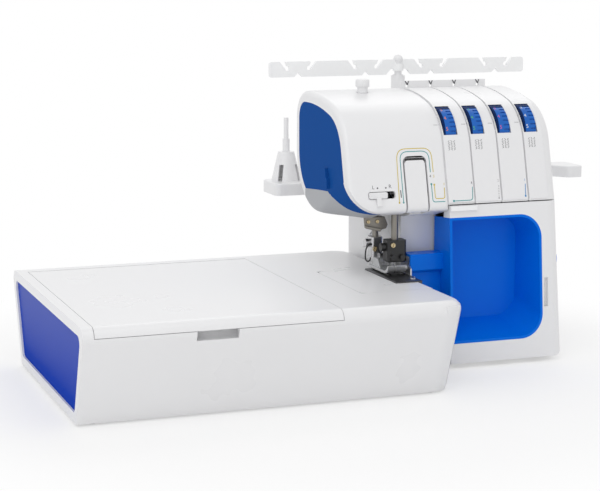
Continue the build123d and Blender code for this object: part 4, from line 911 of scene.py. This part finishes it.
class OVERLOCK_OT_jaw(bpy.types.Operator):
    """Round the jaw of the head and let rim, face cover and lens run round it."""

    bl_idname = "overlock.jaw"
    bl_label = "Rounded jaw"

    def execute(self, context):
        corner = jaw_cutter()
        ahead, behind = seam_cutter(-SEAM_REACH), seam_cutter(SEAM_REACH)
        front = cut_copy("head_front_cover", "upper_front_cover", [corner], "white", "white_plastic")
        face = cut_copy("head_face_cover", "face_cover", [corner], "face_blue", "blue_plastic")
        lens = cut_copy("head_lens", "lamp_lens", [corner, ahead], "lens", "lens")
        cut_copy("head_face_foot", "lamp_lens", [corner, behind], "face_blue", "blue_plastic")
        for piece, node in ((front, "upper_front_cover"), (face, "face_cover"), (lens, "lamp_lens")):
            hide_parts(node)
        for cutter in (corner, ahead, behind):
            bpy.data.objects.remove(cutter)
        fronts = [jaw_front(turn) for turn in QUARTER_TURN]
        rims = [max(between(RIM_EDGE, turn), y + RIM_LEAST) for turn, y in zip(QUARTER_TURN, fronts)]
        lenses = [max(between(LENS_EDGE, turn), y + BAND_LEAST) for turn, y in zip(QUARTER_TURN, rims)]
        ends = [JAW_END] * len(QUARTER_TURN)
        jaw_skin("jaw_rim", fronts, rims, "white", "white_plastic", 4)
        jaw_skin("jaw_band", rims, lenses, "face_blue", "blue_plastic", 8)
        jaw_skin("jaw_lens", lenses, ends, "lens", "lens", 14)
        return {"FINISHED"}


# Table
TABLE_MID, TABLE_FOOT, TABLE_TOP, TABLE_RIGHT = 3.0, 2.0, 92.0, 10.5
TABLE_HALF_FOOT, TABLE_HALF_TOP = 120.5, 155.5
TABLE_CORNER, TABLE_EDGE = 22.0, 10.0
TABLE_LEAN = (TABLE_HALF_TOP - TABLE_HALF_FOOT) / (TABLE_TOP - TABLE_FOOT)
LONG_CORNER = TABLE_CORNER * (1 + TABLE_LEAN ** 2) ** 0.5
LINING_HEIGHTS = (4.2, 20.0, 40.0, 60.0, 76.0, 82.0, 84.0, 86.0, 87.6)
LINING_INSETS = (0.25, 2.4)
NOTCH_LEFT, NOTCH_RIGHT, NOTCH_LOW, NOTCH_HIGH = -245.5, -207.5, 74.0, 82.7
NOTCH_WALL, NOTCH_LAP, NOTCH_DEPTH, NOTCH_RISE = 1.2, 2.0, 7.0, 8.5
NOTCH_LIP, NOTCH_SILL = 3.4, 0.2


def table_half(z):
    """Half the table's depth at a height."""
    return TABLE_HALF_FOOT + TABLE_LEAN * (z - TABLE_FOOT)


def corner_lining(side):
    """Vertices and faces of the lining of one round corner, in front (-1) or behind (1)."""
    vertices = []
    for inset in LINING_INSETS:
        for z in LINING_HEIGHTS:
            over = max(0.0, z - TABLE_TOP + TABLE_EDGE)
            drawn = inset + TABLE_EDGE - (TABLE_EDGE ** 2 - over ** 2) ** 0.5
            for turn in QUARTER_TURN:
                x = TABLE_RIGHT - TABLE_CORNER + (TABLE_CORNER - drawn) * sin(turn)
                deep = LONG_CORNER - (LONG_CORNER - drawn) * cos(turn)
                vertices.append(Vector((x, TABLE_MID + side * (table_half(z) - deep), z)) * MM)
    return vertices, shell_faces(len(LINING_HEIGHTS), len(QUARTER_TURN))


class OVERLOCK_OT_table_fittings(bpy.types.Operator):
    """Line the table's round corners and the finger notch below its lid."""

    bl_idname = "overlock.table_fittings"
    bl_label = "Table fittings"

    def execute(self, context):
        for side, name in ((-1, "front"), (1, "rear")):
            smooth_piece(f"table_corner_{name}", *corner_lining(side), "white", "table", "white_plastic")
        lip = TABLE_MID - table_half(NOTCH_LOW) + NOTCH_LIP
        foot = NOTCH_LOW - NOTCH_WALL
        bowl = [(lip, NOTCH_LOW + NOTCH_SILL)]
        for i in range(9):
            turn = radians(90 * i / 8)
            bowl.append((lip + NOTCH_DEPTH * sin(turn), NOTCH_HIGH - NOTCH_RISE * cos(turn)))
        back = [(y + NOTCH_WALL, z) for y, z in reversed(bowl[1:])]
        pan = [(lip, foot), *bowl, *back, (lip + NOTCH_WALL, foot)]
        left, right = NOTCH_LEFT - NOTCH_LAP, NOTCH_RIGHT + NOTCH_LAP
        add_piece("notch_pan", *side_parts(pan, left, right), "white", "table", "white_plastic")
        cheek = bowl + [(lip, NOTCH_HIGH)]
        for x, name in ((left, "left"), (right - NOTCH_WALL, "right")):
            parts = side_parts(cheek, x, x + NOTCH_WALL)
            add_piece(f"notch_cheek_{name}", *parts, "white", "table", "white_plastic")
        return {"FINISHED"}


# Needle area and screws
THREAD_GUIDE = ((-27, 147), (-26, 138), (-22, 135.6), (-11, 133.6), (-3.4, 135), (-1.6, 139), (-5, 147))
THREAD_LIP = ((-27, 139.6), (-26.4, 136.6), (-11, 132.6), (-9, 135.2))
THREAD_FACE, THREAD_BACK, LIP_FACE, LIP_BACK = 13.2, 15.2, 9.4, 13.4
WIRE_LOOP = [Vector(point) for point in (
    (-12, 19.4, 119), (-17, 19.2, 119.4), (-21.4, 19.6, 117), (-22.6, 20, 111), (-22.4, 20.4, 104),
    (-20.2, 20.4, 101.6), (-17.6, 20, 102.6), (-17.2, 19.6, 106),
)]
WIRE_RADIUS = 0.7
TO_FRONT, TO_BACK, TO_TOP = (0, -1, 0), (0, 1, 0), (0, 0, 1)
REAR_SCREWS = ((26.0, 60.0), (26.0, 132.0), (134.0, 132.0), (134.0, 20.0))


class OVERLOCK_OT_needle_fittings(bpy.types.Operator):
    """Set the thread guide under the head and the wire guide on the presser bar."""

    bl_idname = "overlock.needle_fittings"
    bl_label = "Needle fittings"

    def execute(self, context):
        guide = merge([
            plate_parts(THREAD_GUIDE, THREAD_FACE, THREAD_BACK), plate_parts(THREAD_LIP, LIP_FACE, LIP_BACK),
        ])
        soften(add_piece("head_thread_guide", *guide, "bar_steel", "machine", "steel"), 0.5)
        for i, x in enumerate((-22.5, -13.0), 1):
            screw_head(f"guide_screw_{i}", (x, THREAD_FACE, 142.5), TO_FRONT, 1.9, 1.1, "brass", "machine")
        path = [WIRE_LOOP[0]]
        for before, point, after in zip(WIRE_LOOP, WIRE_LOOP[1:], WIRE_LOOP[2:]):
            start, end = before.lerp(point, 0.6), point.lerp(after, 0.4)
            path += [start, start.lerp(end, 0.5).lerp(point, 0.35), end]
        path.append(WIRE_LOOP[-1])
        add_piece("presser_wire_guide", *tube(path, WIRE_RADIUS), "black", "presser", "black_metal", True)
        return {"FINISHED"}


class OVERLOCK_OT_screws(bpy.types.Operator):
    """Set the screws of the clamp, the foot's holder, the plate and the rear cover."""

    bl_idname = "overlock.screws"
    bl_label = "Screws"

    def execute(self, context):
        screw_head("clamp_screw", (-5.0, -7.5, 121.6), TO_FRONT, 2.5, 1.6, "brass", "needle_unit")
        screw_head("holder_screw", (-14.6, 15.0, 115.0), TO_FRONT, 2.5, 1.6, "brass", "presser")
        screw_head("plate_screw", (3.2, -38.0, 93.2), TO_TOP, 2.4, 0.9, "steel", "machine")
        for i, (x, z) in enumerate(REAR_SCREWS, 1):
            screw_head(f"rear_screw_{i}", (x, 150.0, z), TO_BACK, 3.4, 1.6, "steel", "machine", 4)
        return {"FINISHED"}


# Stage, in metres
FLOOR_HALF = 6.0
FLOOR_SHIFT = (0.09, 0.0, 0.0)
FADE_START, FADE_END, FADE_LEAST = 0.3, 0.5, 0.5
LAMP_TARGET = (-0.05, 0.0, 0.12)
# Name, place, size and the setting that holds the power
LAMPS = (
    ("key_lamp", (-0.5, -0.9, 1.9), 1.6, "key_power"),
    ("fill_lamp", (-1.7, -1.3, 0.9), 1.4, "fill_power"),
    ("back_lamp", (0.6, 1.2, 1.5), 1.2, "fill_power"),
)


def lamp(name, place, size, power):
    """A square soft lamp aimed at the machine."""
    data = bpy.data.lights.new(name, "AREA")
    data.shape = "SQUARE"
    data.size = size
    data.energy = power
    lamp_object = bpy.data.objects.new(name, data)
    lamp_object.location = place
    aim = Vector(LAMP_TARGET) - Vector(place)
    lamp_object.rotation_euler = aim.to_track_quat("-Z", "Y").to_euler()
    bpy.context.scene.collection.objects.link(lamp_object)


def seen_rays(tree):
    """One for rays from the camera, mirrors and glass, and zero for the rest."""
    path = tree.nodes.new("ShaderNodeLightPath")
    seen = path.outputs["Is Camera Ray"]
    for other in ("Is Glossy Ray", "Is Transmission Ray"):
        either = tree.nodes.new("ShaderNodeMath")
        either.operation = "MAXIMUM"
        tree.links.new(seen, either.inputs[0])
        tree.links.new(path.outputs[other], either.inputs[1])
        seen = either.outputs[0]
    return seen


def mix_shaders(tree, share, first, second, target):
    """Blend two shaders by a share and link them on."""
    mix = tree.nodes.new("ShaderNodeMixShader")
    tree.links.new(share, mix.inputs["Fac"])
    tree.links.new(first, mix.inputs[1])
    tree.links.new(second, mix.inputs[2])
    tree.links.new(mix.outputs["Shader"], target)


def floor_paper():
    """Pale paper that keeps the shadow near the machine and turns plain white further off."""
    material, tree, shader = shader_material("floor_paper")
    bump_node(tree, shader, noise_node(tree, *PAPER_GRAIN), 0.05, 0.0001)
    shader.inputs["Base Color"].default_value = (0.95, 0.95, 0.95, 1)
    shader.inputs["Roughness"].default_value = 0.7
    shader.inputs["Specular IOR Level"].default_value = 0.1
    place = tree.nodes.new("ShaderNodeTexCoord")
    shift = tree.nodes.new("ShaderNodeMapping")
    shift.inputs["Location"].default_value = FLOOR_SHIFT
    tree.links.new(place.outputs["Object"], shift.inputs["Vector"])
    reach = tree.nodes.new("ShaderNodeVectorMath")
    reach.operation = "LENGTH"
    tree.links.new(shift.outputs["Vector"], reach.inputs[0])
    fade = ramp_node(tree, reach.outputs["Value"], FADE_LEAST, 1.0, FADE_START, FADE_END)
    fade.node.interpolation_type = "SMOOTHSTEP"
    share = tree.nodes.new("ShaderNodeMath")
    share.operation = "MULTIPLY"
    tree.links.new(fade, share.inputs[0])
    tree.links.new(seen_rays(tree), share.inputs[1])
    plain = tree.nodes.new("ShaderNodeEmission")
    target = tree.nodes["Material Output"].inputs["Surface"]
    mix_shaders(tree, share.outputs[0], shader.outputs["BSDF"], plain.outputs["Emission"], target)
    return material


class OVERLOCK_OT_stage(bpy.types.Operator):
    """Set the floor, the soft lamps and the camera."""

    bl_idname = "overlock.stage"
    bl_label = "Stage"

    def execute(self, context):
        settings = stage_settings()
        scene = context.scene
        scene.view_settings.view_transform = "Standard"
        world = bpy.data.worlds.new("studio")
        scene.world = world
        world.use_nodes = True
        tree = world.node_tree
        lit = tree.nodes["Background"]
        plain = tree.nodes.new("ShaderNodeBackground")
        for background in (lit, plain):
            background.inputs["Color"].default_value = (1, 1, 1, 1)
        lit.inputs["Strength"].default_value = settings.sky_strength
        target = tree.nodes["World Output"].inputs["Surface"]
        mix_shaders(tree, seen_rays(tree), lit.outputs["Background"], plain.outputs["Background"], target)

        half = FLOOR_HALF
        corners = [(-half, -half, 0), (half, -half, 0), (half, half, 0), (-half, half, 0)]
        floor_mesh = bpy.data.meshes.new("floor")
        floor_mesh.from_pydata(corners, [], [(0, 1, 2, 3)])
        floor = bpy.data.objects.new("floor", floor_mesh)
        scene.collection.objects.link(floor)
        floor_mesh.materials.append(floor_paper())

        for name, place, size, power in LAMPS:
            lamp(name, place, size, getattr(settings, power))

        camera_data = bpy.data.cameras.new("camera")
        camera_data.sensor_width = 36.0
        camera_data.lens = settings.camera_lens
        camera = bpy.data.objects.new("camera", camera_data)
        camera.location = settings.camera_place
        camera.rotation_euler = (pi / 2 - settings.camera_pitch, 0.0, -settings.camera_yaw)
        scene.collection.objects.link(camera)
        scene.camera = camera
        return {"FINISHED"}


OPERATORS = (
    OVERLOCK_OT_finishes,
    OVERLOCK_OT_thread_lines,
    OVERLOCK_OT_front_marks,
    OVERLOCK_OT_dial_scales,
    OVERLOCK_OT_top_fittings,
    OVERLOCK_OT_jaw,
    OVERLOCK_OT_table_fittings,
    OVERLOCK_OT_needle_fittings,
    OVERLOCK_OT_screws,
    OVERLOCK_OT_stage,
)


class OVERLOCK_PT_panel(bpy.types.Panel):
    """Lists the dressing steps and their settings."""

    bl_idname = "OVERLOCK_PT_panel"
    bl_label = "Overlock machine"
    bl_space_type = "VIEW_3D"
    bl_region_type = "UI"
    bl_category = "Overlock"

    def draw(self, context):
        for operator in OPERATORS:
            self.layout.operator(operator.bl_idname)
        for settings in (context.scene.overlock_colours, context.scene.overlock_stage):
            for key in settings.__annotations__:
                self.layout.prop(settings, key)


CLASSES = (OverlockColours, OverlockStage) + OPERATORS + (OVERLOCK_PT_panel,)


def register():
    """Register the classes and their settings."""
    for cls in CLASSES:
        bpy.utils.register_class(cls)
    bpy.types.Scene.overlock_colours = bpy.props.PointerProperty(type=OverlockColours)
    bpy.types.Scene.overlock_stage = bpy.props.PointerProperty(type=OverlockStage)


def unregister():
    """Take the settings and classes away again."""
    del bpy.types.Scene.overlock_colours
    del bpy.types.Scene.overlock_stage
    for cls in reversed(CLASSES):
        bpy.utils.unregister_class(cls)


def main():
    """Dress the frame."""
    register()
    for operator in OPERATORS:
        group, step = operator.bl_idname.split(".")
        getattr(getattr(bpy.ops, group), step)()


if __name__ == "__main__":
    main()
